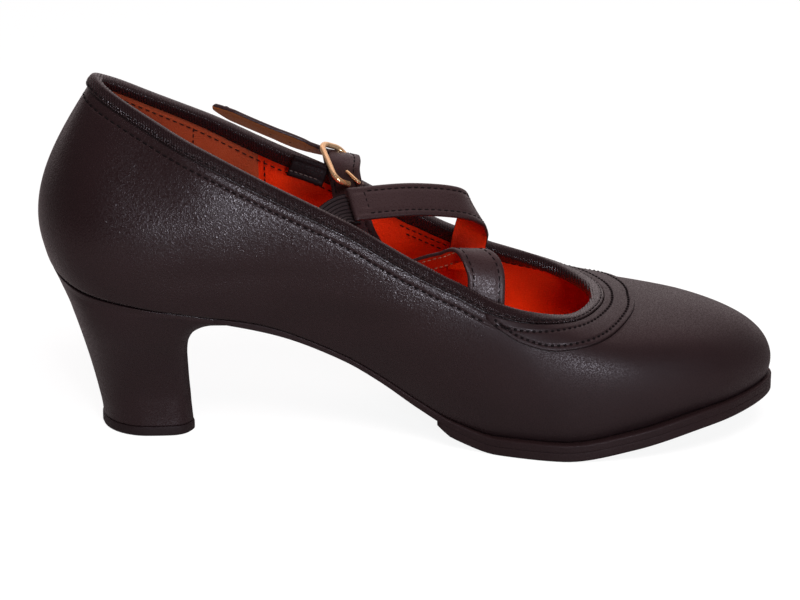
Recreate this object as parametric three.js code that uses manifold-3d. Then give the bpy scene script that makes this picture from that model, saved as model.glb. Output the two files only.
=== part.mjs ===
// A left flamenco shoe: a hollow leather upper, a leather sole, a covered heel, two straps that cross and a small
// buckle. Millimetres, +X to the toe, +Y to the outer side of the foot, +Z up, origin on the floor under the middle
// of the heel's top piece.
import * as THREE from "three";
import { mergeVertices } from "three/addons/utils/BufferGeometryUtils.js";
import Module from "manifold-3d";

// Driving sizes of the last, the block that the shoe is shaped on.
const LENGTH = 232; // the foot outline, from the back of the seat to the toe
const SEAT_BACK = -28.2; // where the foot outline starts, behind the middle of the heel's base
const BALL_WIDTH = 77; // the foot outline at the ball
const HEEL_RISE = 44; // the seat above the tread of the ball
const TOE_SPRING = 11; // the toe above the tread
const BACK_HEIGHT = 68.5; // the back of the collar above the seat
const THROAT_HEIGHT = 38; // the throat's edge above the tread

// Thicknesses of the pieces, and the gap that curved pieces keep.
const WALL = 2;
const OUTSOLE = 2.4;
const HALF_SOLE = 3;
const INSOLE = 2;
const TOP_PIECE = 3.4;
const CLEARANCE = 0.3;
const LEDGE = 2.2; // how far the sole stands out round the forefoot
const WAIST_LEDGE = 0.2;
const EDGE_ROUND = 0.7; // the rounding of the sole's edges

// The collar's binding and the crescent stitched round the throat.
const BINDING = 0.8;
const BINDING_OUTSIDE = 3.2;
const BINDING_INSIDE = 5.4;
const OVERLAY = 0.9;
const OVERLAY_WIDTH = 15; // from the rim to its outer edge, where it is broadest
const OVERLAY_REACH = 0.18; // how far round the collar it runs from the throat, as a share of the whole way

// The heel.
const BASE_LENGTH = 29.1;
const BASE_WIDTH = 33;
const BASE_MIDDLE = -1.35; // where the base's middle lies along the shoe
const LIP_X = 27; // the front end of the heel's lip, where the sole takes over
const SEAT_INSET = 0.5;
const BREAST_SKEW = 0.9; // how far the front of the heel reaches on at its inner corner and falls back at its outer one
const SOLE_STEP_X = 94; // the back end of the half sole
const STEP_RUN = 5; // the length over which it is skived

// The straps, the elastic and the buckle.
const STRAP_WIDTH = 12;
const STRAP_RUN = 150; // from the seam inside to the tip of the free tail, as drawn by the stations
const STRAP = 1.8;
const ELASTIC_WIDTH = 11.5;
const ELASTIC = 1.4;
const TAB_WIDTH = 7.5;
const TAB = 1.4;
const BUCKLE_LENGTH = 19; // across the strap, outside
const BUCKLE_BREADTH = 12;
const BUCKLE_WIRE = 2;
const BUCKLE_CORNER = 3.5;
const PRONG_WIRE = 1.5;
const HOLE_DIAMETER = 2.4;
const HOLE_PITCH = 6;
const HOLE_COUNT = 4;

// The height of the foot line, as shares of the heel's rise and of the toe spring, along the shoe.
const FOOT_LINE = [
  { along: 0, rise: 1, spring: 0 },
  { along: 0.1, rise: 0.955, spring: 0 },
  { along: 0.2, rise: 0.873, spring: 0 },
  { along: 0.3, rise: 0.745, spring: 0 },
  { along: 0.4, rise: 0.536, spring: 0 },
  { along: 0.45, rise: 0.388, spring: 0 },
  { along: 0.5, rise: 0.222, spring: 0 },
  { along: 0.55, rise: 0.082, spring: 0 },
  { along: 0.61, rise: 0, spring: 0 },
  { along: 0.7, rise: 0, spring: 0 },
  { along: 0.8, rise: 0, spring: 0.33 },
  { along: 0.9, rise: 0, spring: 0.78 },
  { along: 1, rise: 0, spring: 1 },
];

// The upper's ribs, from the back of the heel to the toe. A rib rises from the foot line to the rim of the collar.
// foot and rim are shares of the length, inner, outer and half are shares of the ball width, back and throat are
// the rim's height as shares of the back's and the throat's. The wall leaves the foot line by swell and lift and
// reaches the rim by reach and drop: swell and reach go outwards, as shares of the ball width, and lift and drop
// are shares of the rib's height.
const RIBS = [
  { foot: 0, inner: 0, outer: 0, rim: 0.0545, half: 0, back: 1, throat: -0.01, swell: 0.184, lift: 0.35, reach: 0.215, drop: 0.38 },
  { foot: 0.033, inner: 0.247, outer: 0.247, rim: 0.078, half: 0.102, back: 0.96, throat: -0.015, swell: 0.168, lift: 0.35, reach: 0.195, drop: 0.38 },
  { foot: 0.109, inner: 0.334, outer: 0.338, rim: 0.1345, half: 0.184, back: 0.88, throat: -0.02, swell: 0.105, lift: 0.39, reach: 0.14, drop: 0.39 },
  { foot: 0.208, inner: 0.321, outer: 0.331, rim: 0.2034, half: 0.259, back: 0.78, throat: 0.017, swell: 0.082, lift: 0.39, reach: 0.1, drop: 0.39 },
  { foot: 0.316, inner: 0.283, outer: 0.329, rim: 0.3155, half: 0.296, back: 0.57, throat: 0.226, swell: 0.08, lift: 0.36, reach: 0.08, drop: 0.36 },
  { foot: 0.445, inner: 0.286, outer: 0.377, rim: 0.445, half: 0.337, back: 0.32, throat: 0.64, swell: 0.09, lift: 0.37, reach: 0.07, drop: 0.35 },
  { foot: 0.574, inner: 0.37, outer: 0.461, rim: 0.5526, half: 0.369, back: 0.13, throat: 1.01, swell: 0.078, lift: 0.34, reach: 0.07, drop: 0.3 },
  { foot: 0.703, inner: 0.474, outer: 0.519, rim: 0.6431, half: 0.386, back: 0, throat: 1.098, swell: 0.065, lift: 0.43, reach: 0.11, drop: 0.2 },
  { foot: 0.833, inner: 0.436, outer: 0.474, rim: 0.7034, half: 0.312, back: 0, throat: 1.005, swell: 0.065, lift: 0.6, reach: 0.22, drop: 0.13 },
  { foot: 0.9405, inner: 0.286, outer: 0.299, rim: 0.737, half: 0.155, back: 0, throat: 0.965, swell: 0.055, lift: 0.8, reach: 0.35, drop: 0.1 },
  { foot: 1, inner: 0, outer: 0, rim: 0.7466, half: 0, back: 0, throat: 0.96, swell: 0.039, lift: 0.86, reach: 0.43, drop: 0.1 },
];

// The heel block by levels, from the seat down to the base. back and front are where the level starts and ends
// along the shoe, from the seat's back (0) to the base's back (1) and from the base's front (0) to the lip (1).
// base is how far the level's outline has turned from the seat's into the base's, and broad its breadth there,
// as a share of the base's.
const HEEL_LEVELS = [
  { down: 0, back: 0, front: 1, base: 0, broad: 1.4 },
  { down: 0.05, back: 0.055, front: 1, base: 0.05, broad: 1.4 },
  { down: 0.07, back: 0.08, front: 0.66, base: 0.09, broad: 1.38 },
  { down: 0.11, back: 0.13, front: 0.36, base: 0.16, broad: 1.34 },
  { down: 0.175, back: 0.21, front: 0.13, base: 0.28, broad: 1.28 },
  { down: 0.27, back: 0.33, front: 0.01, base: 0.45, broad: 1.2 },
  { down: 0.4, back: 0.48, front: -0.04, base: 0.66, broad: 1.1 },
  { down: 0.6, back: 0.69, front: -0.05, base: 0.88, broad: 1.01 },
  { down: 0.8, back: 0.87, front: -0.03, base: 1, broad: 0.98 },
  { down: 0.93, back: 0.97, front: 0, base: 1, broad: 0.985 },
  { down: 1, back: 1, front: 0.02, base: 1, broad: 1 },
];

// The crescent's breadth from the throat's middle (turn 0) to its ends (turn 1).
const OVERLAY_BREADTHS = [
  { turn: 0, broad: 0.89 },
  { turn: 0.3, broad: 0.95 },
  { turn: 0.55, broad: 1 },
  { turn: 0.75, broad: 0.9 },
  { turn: 0.88, broad: 0.68 },
  { turn: 0.96, broad: 0.46 },
  { turn: 1, broad: 0.36 },
];

// The two straps off the shoe. along is a share of the length, across a share of the rim's half breadth there
// (minus inwards of the foot), lift the height over the rim there as a share of the back's height, and the face's
// direction is that of the strap's good side.
const CROSSING_STRAP = [
  { along: 0.568, across: 0.83, lift: -0.174, faceX: 0, faceY: 1, faceZ: 0.1 },
  { along: 0.572, across: 0.82, lift: -0.048, faceX: 0.1, faceY: 0.95, faceZ: 0.1 },
  { along: 0.578, across: 0.78, lift: 0.068, faceX: 0.45, faceY: 0.75, faceZ: 0.45 },
  { along: 0.581, across: 0.60, lift: 0.153, faceX: 0.75, faceY: 0.35, faceZ: 0.55 },
  { along: 0.578, across: 0.43, lift: 0.215, faceX: 0.62, faceY: -0.25, faceZ: 0.72 },
  { along: 0.563, across: 0.30, lift: 0.237, faceX: 0.38, faceY: -0.55, faceZ: 0.74 },
  { along: 0.497, across: 0.04, lift: 0.182, faceX: 0.28, faceY: -0.62, faceZ: 0.73 },
  { along: 0.406, across: -0.32, lift: 0.023, faceX: 0.25, faceY: -0.62, faceZ: 0.74 },
];
const BUCKLE_STRAP = [
  { along: 0.590, across: -0.83, lift: -0.177, faceX: 0, faceY: -1, faceZ: 0 },
  { along: 0.593, across: -0.82, lift: -0.012, faceX: 0.05, faceY: -0.98, faceZ: 0.15 },
  { along: 0.591, across: -0.72, lift: 0.110, faceX: 0.2, faceY: -0.85, faceZ: 0.45 },
  { along: 0.572, across: -0.54, lift: 0.135, faceX: 0.3, faceY: -0.1, faceZ: 0.95 },
  { along: 0.546, across: -0.32, lift: 0.033, faceX: -0.1, faceY: 0.6, faceZ: 0.8 },
  { along: 0.514, across: -0.11, lift: -0.087, faceX: -0.15, faceY: 0.68, faceZ: 0.72 },
  { along: 0.484, across: 0.09, lift: -0.201, faceX: 0, faceY: 0.4, faceZ: 0.9 },
  { along: 0.449, across: 0.33, lift: -0.269, faceX: 0.1, faceY: -0.1, faceZ: 1 },
  { along: 0.421, across: 0.45, lift: -0.238, faceX: -0.1, faceY: -0.75, faceZ: 0.6 },
  { along: 0.407, across: 0.52, lift: -0.132, faceX: -0.35, faceY: -0.92, faceZ: 0.2 },
  { along: 0.402, across: 0.57, lift: -0.040, faceX: -0.5, faceY: -0.85, faceZ: 0.2 },
  { along: 0.397, across: 0.71, lift: 0.030, faceX: -0.55, faceY: -0.75, faceZ: 0.36 },
  { along: 0.393, across: 0.91, lift: 0.077, faceX: -0.1, faceY: -0.4, faceZ: 0.9 },
  { along: 0.387, across: 1.14, lift: 0.078, faceX: 0.2, faceY: 0.2, faceZ: 0.95 },
  { along: 0.374, across: 1.33, lift: 0.046, faceX: 0.1, faceY: 0.45, faceZ: 0.88 },
  { along: 0.346, across: 1.47, lift: 0.015, faceX: 0, faceY: 0.5, faceZ: 0.87 },
  { along: 0.298, across: 1.56, lift: 0.002, faceX: 0, faceY: 0.485, faceZ: 0.875 },
  { along: 0.239, across: 1.69, lift: -0.014, faceX: 0, faceY: 0.485, faceZ: 0.875 },
  { along: 0.207, across: 1.80, lift: -0.017, faceX: 0, faceY: 0.485, faceZ: 0.875 },
];
const ELASTIC_RUN = [
  { along: 0.410, across: -0.21, lift: -0.006, faceX: 0.25, faceY: -0.62, faceZ: 0.74 },
  { along: 0.397, across: -0.31, lift: -0.027, faceX: 0.22, faceY: -0.6, faceZ: 0.78 },
  { along: 0.381, across: -0.59, lift: -0.056, faceX: 0.1, faceY: -0.4, faceZ: 0.9 },
  { along: 0.371, across: -0.81, lift: -0.120, faceX: 0, faceY: -0.8, faceZ: 0.55 },
  { along: 0.363, across: -0.87, lift: -0.249, faceX: 0, faceY: -1, faceZ: 0.1 },
];
const TAB_RUN = [
  { along: 0.320, across: 0.77, lift: -0.038, faceX: 0, faceY: -1, faceZ: 0 },
  { along: 0.341, across: 0.77, lift: -0.030, faceX: 0, faceY: -1, faceZ: 0.05 },
  { along: 0.359, across: 0.77, lift: -0.025, faceX: 0, faceY: -1, faceZ: 0.1 },
  { along: 0.370, across: 0.76, lift: -0.022, faceX: 0, faceY: -1, faceZ: 0.1 },
];

// Where the buckle hangs, placed as a strap's station is. bar runs along its long sides and face points out of it.
const BUCKLE_SEAT = { along: 0.3892, across: 0.845, lift: 0.0593, barX: 0.36, barY: -0.8, barZ: -0.48, faceX: 0.6, faceY: -0.25, faceZ: 0.76 };
const PRONG_SHARE = 0.34; // where the prong lies, from the frame's middle towards its low end

// How finely the forms are cut into faces.
const RIM_STEPS = 80;
const RIB_STEPS = 10;
const SOLE_STEPS = 34;
const HEEL_STEPS = 18;
const FRONT_STEPS = 3;

const STACK = OUTSOLE + HALF_SOLE + 2 * CLEARANCE; // what lies under the foot line at the ball
const UP = new THREE.Vector3(0, 0, 1);
const wasm = await Module();
wasm.setup();

// A smooth curve through a table's rows at even steps, which closes on itself.
function around(rows, key, share) {
  const count = rows.length;
  const place = (((share % 1) + 1) % 1) * count;
  const i = Math.floor(place);
  const t = place - i;
  const [a, b, c, d] = [-1, 0, 1, 2].map((step) => rows[(i + step + count) % count][key]);
  return b + 0.5 * t * (c - a + t * (2 * a - 5 * b + 4 * c - d + t * (3 * (b - c) + d - a)));
}

// A curve through a table's rows that never swings past them, so that level rows give a flat stretch.
function along(rows, key, value, by = "along") {
  const x = Math.min(Math.max(value, rows[0][by]), rows.at(-1)[by]);
  const i = Math.min(rows.findLastIndex((row) => row[by] <= x), rows.length - 2);
  const slope = (k) => (rows[k + 1][key] - rows[k][key]) / (rows[k + 1][by] - rows[k][by]);
  const tangent = (k) => {
    if (k === 0 || k === rows.length - 1) return slope(Math.min(k, rows.length - 2));
    const [before, after] = [slope(k - 1), slope(k)];
    return before * after <= 0 ? 0 : (2 * before * after) / (before + after);
  };
  const run = rows[i + 1][by] - rows[i][by];
  const t = (x - rows[i][by]) / run;
  const [from, to] = [rows[i][key], rows[i + 1][key]];
  return (
    from +
    (to - from) * t * t * (3 - 2 * t) +
    run * t * (1 - t) * ((1 - t) * tangent(i) - t * tangent(i + 1))
  );
}

function footHeight(x) {
  const share = (x - SEAT_BACK) / LENGTH;
  const rise = along(FOOT_LINE, "rise", share) * HEEL_RISE;
  return STACK + rise + along(FOOT_LINE, "spring", share) * TOE_SPRING;
}

// The ribs all the way round: back, inner side (minus Y), toe, outer side.
const FOOT_ROWS = [
  ...RIBS.map((rib) => ({ ...rib, footY: -rib.inner, rimY: -rib.half })),
  ...RIBS.slice(1, -1).reverse().map((rib) => ({ ...rib, footY: rib.outer, rimY: rib.half })),
];
const value = (key, u) => around(FOOT_ROWS, key, u);

function footPoint(u) {
  const x = SEAT_BACK + value("foot", u) * LENGTH;
  return new THREE.Vector3(x, value("footY", u) * BALL_WIDTH, footHeight(x));
}

function rimPoint(u) {
  const x = SEAT_BACK + value("rim", u) * LENGTH;
  const height = value("back", u) * BACK_HEIGHT + value("throat", u) * THROAT_HEIGHT;
  return new THREE.Vector3(x, value("rimY", u) * BALL_WIDTH, footHeight(x) + height);
}

// The level direction that points out of a closed curve, where the curve is at u.
function outwards(curve, u) {
  const step = 1e-3;
  const run = curve(u + step).sub(curve(u - step));
  return new THREE.Vector3(run.y, -run.x, 0).normalize();
}

// The upper's outer surface: u runs round the shoe and v up a rib, from the foot line to the rim.
function upperPoint(u, v) {
  const foot = footPoint(u);
  const rim = rimPoint(u);
  const height = rim.z - foot.z;
  const low = foot.clone().addScaledVector(outwards(footPoint, u), value("swell", u) * BALL_WIDTH);
  low.z += value("lift", u) * height;
  const high = rim.clone().addScaledVector(outwards(rimPoint, u), value("reach", u) * BALL_WIDTH);
  high.z -= value("drop", u) * height;
  return new THREE.CubicBezierCurve3(foot, low, high, rim).getPoint(v);
}

function upperNormal(u, v) {
  const step = 1e-3;
  const round = upperPoint(u + step, v).sub(upperPoint(u - step, v));
  const up = upperPoint(u, Math.min(v + step, 1)).sub(upperPoint(u, Math.max(v - step, 0)));
  return round.cross(up).normalize();
}

// The place on a rib at a distance from the rim, measured square to the rim, moved off the surface by offset.
function belowRim(u, distance, offset) {
  const step = 1e-3;
  const rimRun = rimPoint(u + step).sub(rimPoint(u - step)).normalize();
  const ribRun = upperPoint(u, 1).sub(upperPoint(u, 1 - step)).normalize();
  const ribDistance = distance / Math.max(rimRun.cross(ribRun).length(), 0.5);
  let v = 1;
  let left = ribDistance;
  while (left > 0 && v > 0) {
    const pace = Math.min(0.01, v);
    const run = upperPoint(u, v).distanceTo(upperPoint(u, v - pace));
    v -= pace * Math.min(1, left / run);
    left -= run;
  }
  return { point: upperPoint(u, v).addScaledVector(upperNormal(u, v), offset), face: upperNormal(u, v) };
}

// The share round the shoe at which a closed curve reaches x, on the inner (-1) or the outer side (1).
function shareAt(curve, x, side) {
  let [low, high] = [0, 0.5];
  for (let turn = 0; turn < 40; turn++) {
    const middle = (low + high) / 2;
    if (curve(middle).x < x) low = middle;
    else high = middle;
  }
  return side < 0 ? low : 1 - low;
}

// A closed mesh from points and triangles, with its faces turned outwards.
function closedMesh(points, triangles) {
  let volume = 0;
  for (const [a, b, c] of triangles) {
    volume += points[a].dot(points[b].clone().cross(points[c]));
  }
  const index = triangles.flatMap(([a, b, c]) => (volume < 0 ? [a, c, b] : [a, b, c]));
  const geometry = new THREE.BufferGeometry();
  geometry.setAttribute("position", new THREE.Float32BufferAttribute(points.flatMap((p) => p.toArray()), 3));
  geometry.setIndex(index);
  return geometry;
}

// A solid through sections, each a closed loop with as many points. The path closes on itself, or ends in flat caps.
function loft(sections, closed) {
  const size = sections[0].length;
  const points = sections.flat();
  const triangles = [];
  const steps = closed ? sections.length : sections.length - 1;
  for (let i = 0; i < steps; i++) {
    const [here, next] = [i * size, ((i + 1) % sections.length) * size];
    for (let k = 0; k < size; k++) {
      const beside = (k + 1) % size;
      triangles.push([here + k, here + beside, next + beside], [here + k, next + beside, next + k]);
    }
  }
  if (!closed) {
    const end = (sections.length - 1) * size;
    for (let k = 1; k < size - 1; k++) triangles.push([0, k + 1, k], [end, end + k, end + k + 1]);
  }
  return closedMesh(points, triangles);
}

// A solid from rings one under the other. A ring's point k lies across from its point size - k.
function stack(rings) {
  const size = rings[0].length;
  const half = size / 2;
  const triangles = [];
  for (let i = 0; i < rings.length - 1; i++) {
    for (let k = 0; k < size; k++) {
      const beside = (k + 1) % size;
      const [here, next] = [i * size, (i + 1) * size];
      triangles.push([here + k, next + k, next + beside], [here + k, next + beside, here + beside]);
    }
  }
  for (const [start, turn] of [[0, false], [(rings.length - 1) * size, true]]) {
    for (let k = 0; k < half; k++) {
      const [a, b, c, d] = [k, k + 1, size - k - 1, (size - k) % size].map((n) => n + start);
      const pair = [[a, b, c], [a, c, d]].filter((t) => new Set(t).size === 3);
      triangles.push(...pair.map((t) => (turn ? t.reverse() : t)));
    }
  }
  return closedMesh(rings.flat(), triangles);
}

// The foot outline from a place at its back to the toe and back again, moved outwards, at the heights that z gives.
function outlineRing(rearX, steps, outset, z) {
  const rear = shareAt(footPoint, rearX, -1);
  const side = [];
  for (let i = 0; i <= steps; i++) side.push(rear + (0.5 - rear) * Math.sin((Math.PI / 2) * (i / steps)));
  const shares = [...side, ...side.slice(0, -1).reverse().map((u) => 1 - u)];
  const ring = shares.map((u) => {
    const point = footPoint(u).addScaledVector(outwards(footPoint, u), outset(u));
    point.x = Math.max(point.x, rearX);
    return point.setZ(z(point.x));
  });
  const middle = ring[0].clone().add(ring.at(-1)).multiplyScalar(0.5);
  return [middle, ...ring];
}

// The upper, one hollow wall, open at the collar and underneath.
function upper() {
  const sections = [];
  for (let i = 0; i < RIM_STEPS; i++) {
    const u = i / RIM_STEPS;
    const outer = [];
    const inner = [];
    for (let k = 0; k <= RIB_STEPS; k++) {
      const v = k / RIB_STEPS;
      outer.push(upperPoint(u, v));
      inner.push(upperPoint(u, v).addScaledVector(upperNormal(u, v), -WALL));
    }
    inner[0] = footPoint(u).addScaledVector(outwards(footPoint, u), -WALL);
    sections.push([...outer, ...inner.reverse()]);
  }
  return loft(sections, true);
}

// The binding folded over the rim: a short leg outside, a longer one inside.
function binding() {
  const [near, far] = [CLEARANCE, CLEARANCE + BINDING];
  const sections = [];
  for (let i = 0; i < RIM_STEPS; i++) {
    const u = i / RIM_STEPS;
    const normal = upperNormal(u, 1);
    const rise = upperPoint(u, 1).sub(upperPoint(u, 0.99)).normalize();
    const over = (offset, height) => rimPoint(u).addScaledVector(normal, offset).addScaledVector(rise, height);
    sections.push([
      belowRim(u, BINDING_OUTSIDE, near).point,
      belowRim(u, BINDING_OUTSIDE, far).point,
      over(far, 0),
      over(near, far * 0.85),
      over(-WALL - near, far * 0.85),
      over(-WALL - far, 0),
      belowRim(u, BINDING_INSIDE, -WALL - far).point,
      belowRim(u, BINDING_INSIDE, -WALL - near).point,
      over(-WALL - near, 0),
      over(-WALL / 2, near),
      over(near, 0),
    ]);
  }
  return loft(sections, true);
}

// The crescent round the throat, broad in front and fading out along both sides.
function throatOverlay() {
  const start = BINDING_OUTSIDE + 2 * CLEARANCE;
  const steps = RIM_STEPS / 2;
  const sections = [];
  for (let i = 0; i <= steps; i++) {
    const turn = (2 * i) / steps - 1;
    const u = 0.5 + turn * OVERLAY_REACH;
    const end = OVERLAY_WIDTH * along(OVERLAY_BREADTHS, "broad", Math.abs(turn), "turn");
    const places = [0, 1 / 3, 2 / 3, 1].map((share) => start + (end - start) * share);
    const over = places.map((place) => belowRim(u, place, CLEARANCE + OVERLAY).point);
    const under = places.map((place) => belowRim(u, place, CLEARANCE).point);
    sections.push([...over, ...under.reverse()]);
  }
  return loft(sections, false);
}

// How far the sole stands out of the foot outline: little at the waist, more round the forefoot.
function ledge(u) {
  const share = value("foot", u);
  const rise = THREE.MathUtils.smoothstep(share, 0.48, 0.64) * (1 - 0.85 * THREE.MathUtils.smoothstep(share, 0.84, 0.99));
  return WAIST_LEDGE + (LEDGE - WAIST_LEDGE) * rise;
}

// A sole layer with rounded edges, between the heights that top and bottom give.
function soleLayer(rearX, top, bottom) {
  const levels = [
    [-EDGE_ROUND, (x) => top(x)],
    [0, (x) => top(x) - Math.min(EDGE_ROUND, (top(x) - bottom(x)) / 3)],
    [0, (x) => bottom(x) + Math.min(EDGE_ROUND, (top(x) - bottom(x)) / 3)],
    [-EDGE_ROUND, (x) => bottom(x)],
  ];
  return stack(levels.map(([inset, z]) => outlineRing(rearX, SOLE_STEPS, (u) => ledge(u) + inset, z)));
}

const outsoleTop = (x) => footHeight(x) - CLEARANCE;
const outsoleBottom = (x) => outsoleTop(x) - OUTSOLE;
const halfSoleTop = (x) => outsoleBottom(x) - CLEARANCE;

function outsole() {
  return soleLayer(LIP_X + CLEARANCE, outsoleTop, outsoleBottom);
}

// The half sole, skived thin where it starts behind the ball.
function halfSole() {
  const bottom = (x) => {
    const thick = THREE.MathUtils.smoothstep(x, SOLE_STEP_X - STEP_RUN / 2, SOLE_STEP_X + STEP_RUN);
    return halfSoleTop(x) - HALF_SOLE * (0.25 + 0.75 * thick);
  };
  return soleLayer(SOLE_STEP_X, halfSoleTop, bottom);
}

function insole() {
  const inset = -WALL - CLEARANCE;
  const rear = SEAT_BACK + WALL + CLEARANCE;
  const levels = [
    [inset, (x) => footHeight(x)],
    [inset, (x) => footHeight(x) + INSOLE - EDGE_ROUND],
    [inset - EDGE_ROUND, (x) => footHeight(x) + INSOLE],
  ];
  return stack(levels.map(([outset, z]) => outlineRing(rear, SOLE_STEPS, () => outset, z)));
}

// Half the breadth of the heel's base at a share of its length from the back: round behind, square in front.
function baseBreadth(share) {
  const round = 0.52;
  if (share < round) return Math.sqrt(1 - (1 - share / round) ** 2);
  const front = (share - round) / (1 - round);
  return 1 - 0.08 * front ** 2 - 0.32 * front ** 8;
}

// One level of the heel: a ring from the back along the inner side, across the front and back along the outer side.
function heelRing(level, zOf) {
  const baseBack = BASE_MIDDLE - BASE_LENGTH / 2;
  const baseFront = BASE_MIDDLE + BASE_LENGTH / 2;
  const lipShare = shareAt(footPoint, LIP_X, -1);
  const seatStart = SEAT_BACK + SEAT_INSET;
  const back = THREE.MathUtils.lerp(seatStart, baseBack, level.back);
  const front = THREE.MathUtils.lerp(baseFront, LIP_X, level.front);
  const side = (sign) => {
    const points = [];
    for (let i = sign < 0 ? 0 : 1; i <= HEEL_STEPS; i++) {
      const u = (lipShare * (1 - Math.cos((Math.PI * i) / HEEL_STEPS))) / 2;
      const seat = footPoint(sign < 0 ? u : 1 - u);
      const share = (seat.x - SEAT_BACK) / (LIP_X - SEAT_BACK);
      const seatY = Math.max(Math.abs(seat.y) - SEAT_INSET * Math.min(1, 4 * share), 0);
      const baseY = baseBreadth(share) * (BASE_WIDTH / 2) * level.broad;
      const x = THREE.MathUtils.lerp(back, front, share) - sign * level.base * share ** 4 * BREAST_SKEW;
      points.push(new THREE.Vector3(x, sign * THREE.MathUtils.lerp(seatY, baseY, level.base), 0));
    }
    return points;
  };
  const inner = side(-1);
  const outer = side(1).reverse();
  const across = [];
  for (let i = 1; i < FRONT_STEPS + 1; i++) {
    across.push(inner.at(-1).clone().lerp(outer[0], i / (FRONT_STEPS + 1)));
  }
  return [...inner, ...across, ...outer].map((point) => point.setZ(zOf(point.x)));
}

function heelBlock() {
  const seat = (x) => footHeight(x) - CLEARANCE;
  return stack(
    HEEL_LEVELS.map((level) =>
      heelRing(level, (x) => THREE.MathUtils.lerp(seat(x), TOP_PIECE, level.down)),
    ),
  );
}

// The top piece under the heel, with a rounded lower edge that the floor meets.
function topPiece() {
  const base = HEEL_LEVELS.at(-1);
  const round = 0.9;
  const ring = (broad, z) => {
    const middle = new THREE.Vector3(BASE_MIDDLE, 0, 0);
    return heelRing(base, () => z).map((point) => {
      const flat = point.clone().setZ(0).sub(middle);
      const grown = flat.multiplyScalar(1 + broad / flat.length()).add(middle);
      return grown.setZ(z);
    });
  };
  return stack([ring(0.4, TOP_PIECE), ring(0.4, round), ring(0.4 - round / 3, round / 3), ring(0.4 - round, 0)]);
}

// The rim's half breadth and height at x, from which the straps are placed.
function rimAt(x) {
  return rimPoint(shareAt(rimPoint, x, 1));
}

// The stations of a strap, in place.
function strapStations(rows) {
  return rows.map((row) => {
    const x = SEAT_BACK + row.along * LENGTH;
    const rim = rimAt(x);
    return {
      point: new THREE.Vector3(x, rim.y * row.across, rim.z + row.lift * BACK_HEIGHT),
      face: new THREE.Vector3(row.faceX, row.faceY, row.faceZ).normalize(),
    };
  });
}

// A band of leather or elastic through stations, with its edges rounded. narrow gives its breadth along the way.
function band(stations, width, thickness, steps, narrow = () => 1) {
  const path = new THREE.CatmullRomCurve3(stations.map((s) => s.point), false, "centripetal");
  const faces = new THREE.CatmullRomCurve3(stations.map((s) => s.face), false, "catmullrom", 0.5);
  const edge = thickness * 0.3;
  const corners = [[-1, -1], [1, -1], [1, 1], [-1, 1]].flatMap(([a, b], k) => {
    const cut = [[a, b, 0, edge], [a, b, edge, 0]];
    return k % 2 ? cut.reverse() : cut;
  });
  const frames = [];
  for (let i = 0; i <= steps; i++) {
    const t = i / steps;
    const run = path.getTangent(t);
    const face = faces.getPoint(t).normalize();
    face.addScaledVector(run, -face.dot(run)).normalize();
    frames.push({ point: path.getPoint(t), run, face, across: run.clone().cross(face), t });
  }
  const sections = frames.map(({ point, face, across, t }) => {
    const half = (width * narrow(t)) / 2;
    return corners.map(([a, b, cutA, cutB]) =>
      point
        .clone()
        .addScaledVector(across, a * (half - Math.min(cutA, half * 0.6)))
        .addScaledVector(face, b * (thickness / 2 - cutB)),
    );
  });
  return { geometry: loft(sections, false), frames, path };
}


// A round wire along a path. A closed path gives a ring.
function wire(points, diameter, closed) {
  const path = new THREE.CatmullRomCurve3(points, closed, "catmullrom", 0.5);
  const steps = closed ? 34 : 10;
  const sides = 8;
  const geometry = new THREE.TubeGeometry(path, steps, diameter / 2, sides, closed);
  if (closed) return mergeVertices(stripped(geometry), 1e-4);
  const frames = path.computeFrenetFrames(steps, false);
  const sections = [];
  for (let i = 0; i <= steps; i++) {
    const middle = path.getPointAt(i / steps);
    const ring = [];
    for (let k = 0; k < sides; k++) {
      const angle = (2 * Math.PI * k) / sides;
      const side = frames.normals[i].clone().multiplyScalar(Math.cos(angle) * (diameter / 2));
      ring.push(middle.clone().add(side).addScaledVector(frames.binormals[i], Math.sin(angle) * (diameter / 2)));
    }
    sections.push(ring);
  }
  return loft(sections, false);
}

// A solid of manifold-3d from a mesh, and back.
function solidOf(geometry) {
  const mesh = mergeVertices(geometry.clone(), 1e-4);
  const vertProperties = new Float32Array(mesh.getAttribute("position").array);
  return new wasm.Manifold(new wasm.Mesh({ numProp: 3, vertProperties, triVerts: new Uint32Array(mesh.index.array) }));
}

function geometryOf(solid) {
  const mesh = solid.getMesh();
  const geometry = new THREE.BufferGeometry();
  geometry.setAttribute("position", new THREE.Float32BufferAttribute(mesh.vertProperties, 3));
  geometry.setIndex(Array.from(mesh.triVerts));
  return geometry;
}

// A strap with room cut out for the metal that presses into its edges. Slivers that come off are left out.
function pressedBy(geometry, metal) {
  const cut = metal.reduce((solid, piece) => solid.subtract(solidOf(piece)), solidOf(geometry));
  const largest = cut.decompose().sort((a, b) => b.volume() - a.volume())[0];
  return geometryOf(largest);
}

function stripped(geometry) {
  for (const name of ["normal", "uv"]) geometry.deleteAttribute(name);
  return geometry;
}

// The buckle's own axes: bar along its long sides, run across them, face out of it, and its middle.
function buckleSeat() {
  const seat = BUCKLE_SEAT;
  const { point, face } = strapStations([seat])[0];
  const bar = new THREE.Vector3(seat.barX, seat.barY, seat.barZ);
  bar.addScaledVector(face, -bar.dot(face)).normalize();
  return { middle: point, bar, face, run: face.clone().cross(bar) };
}

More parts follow.
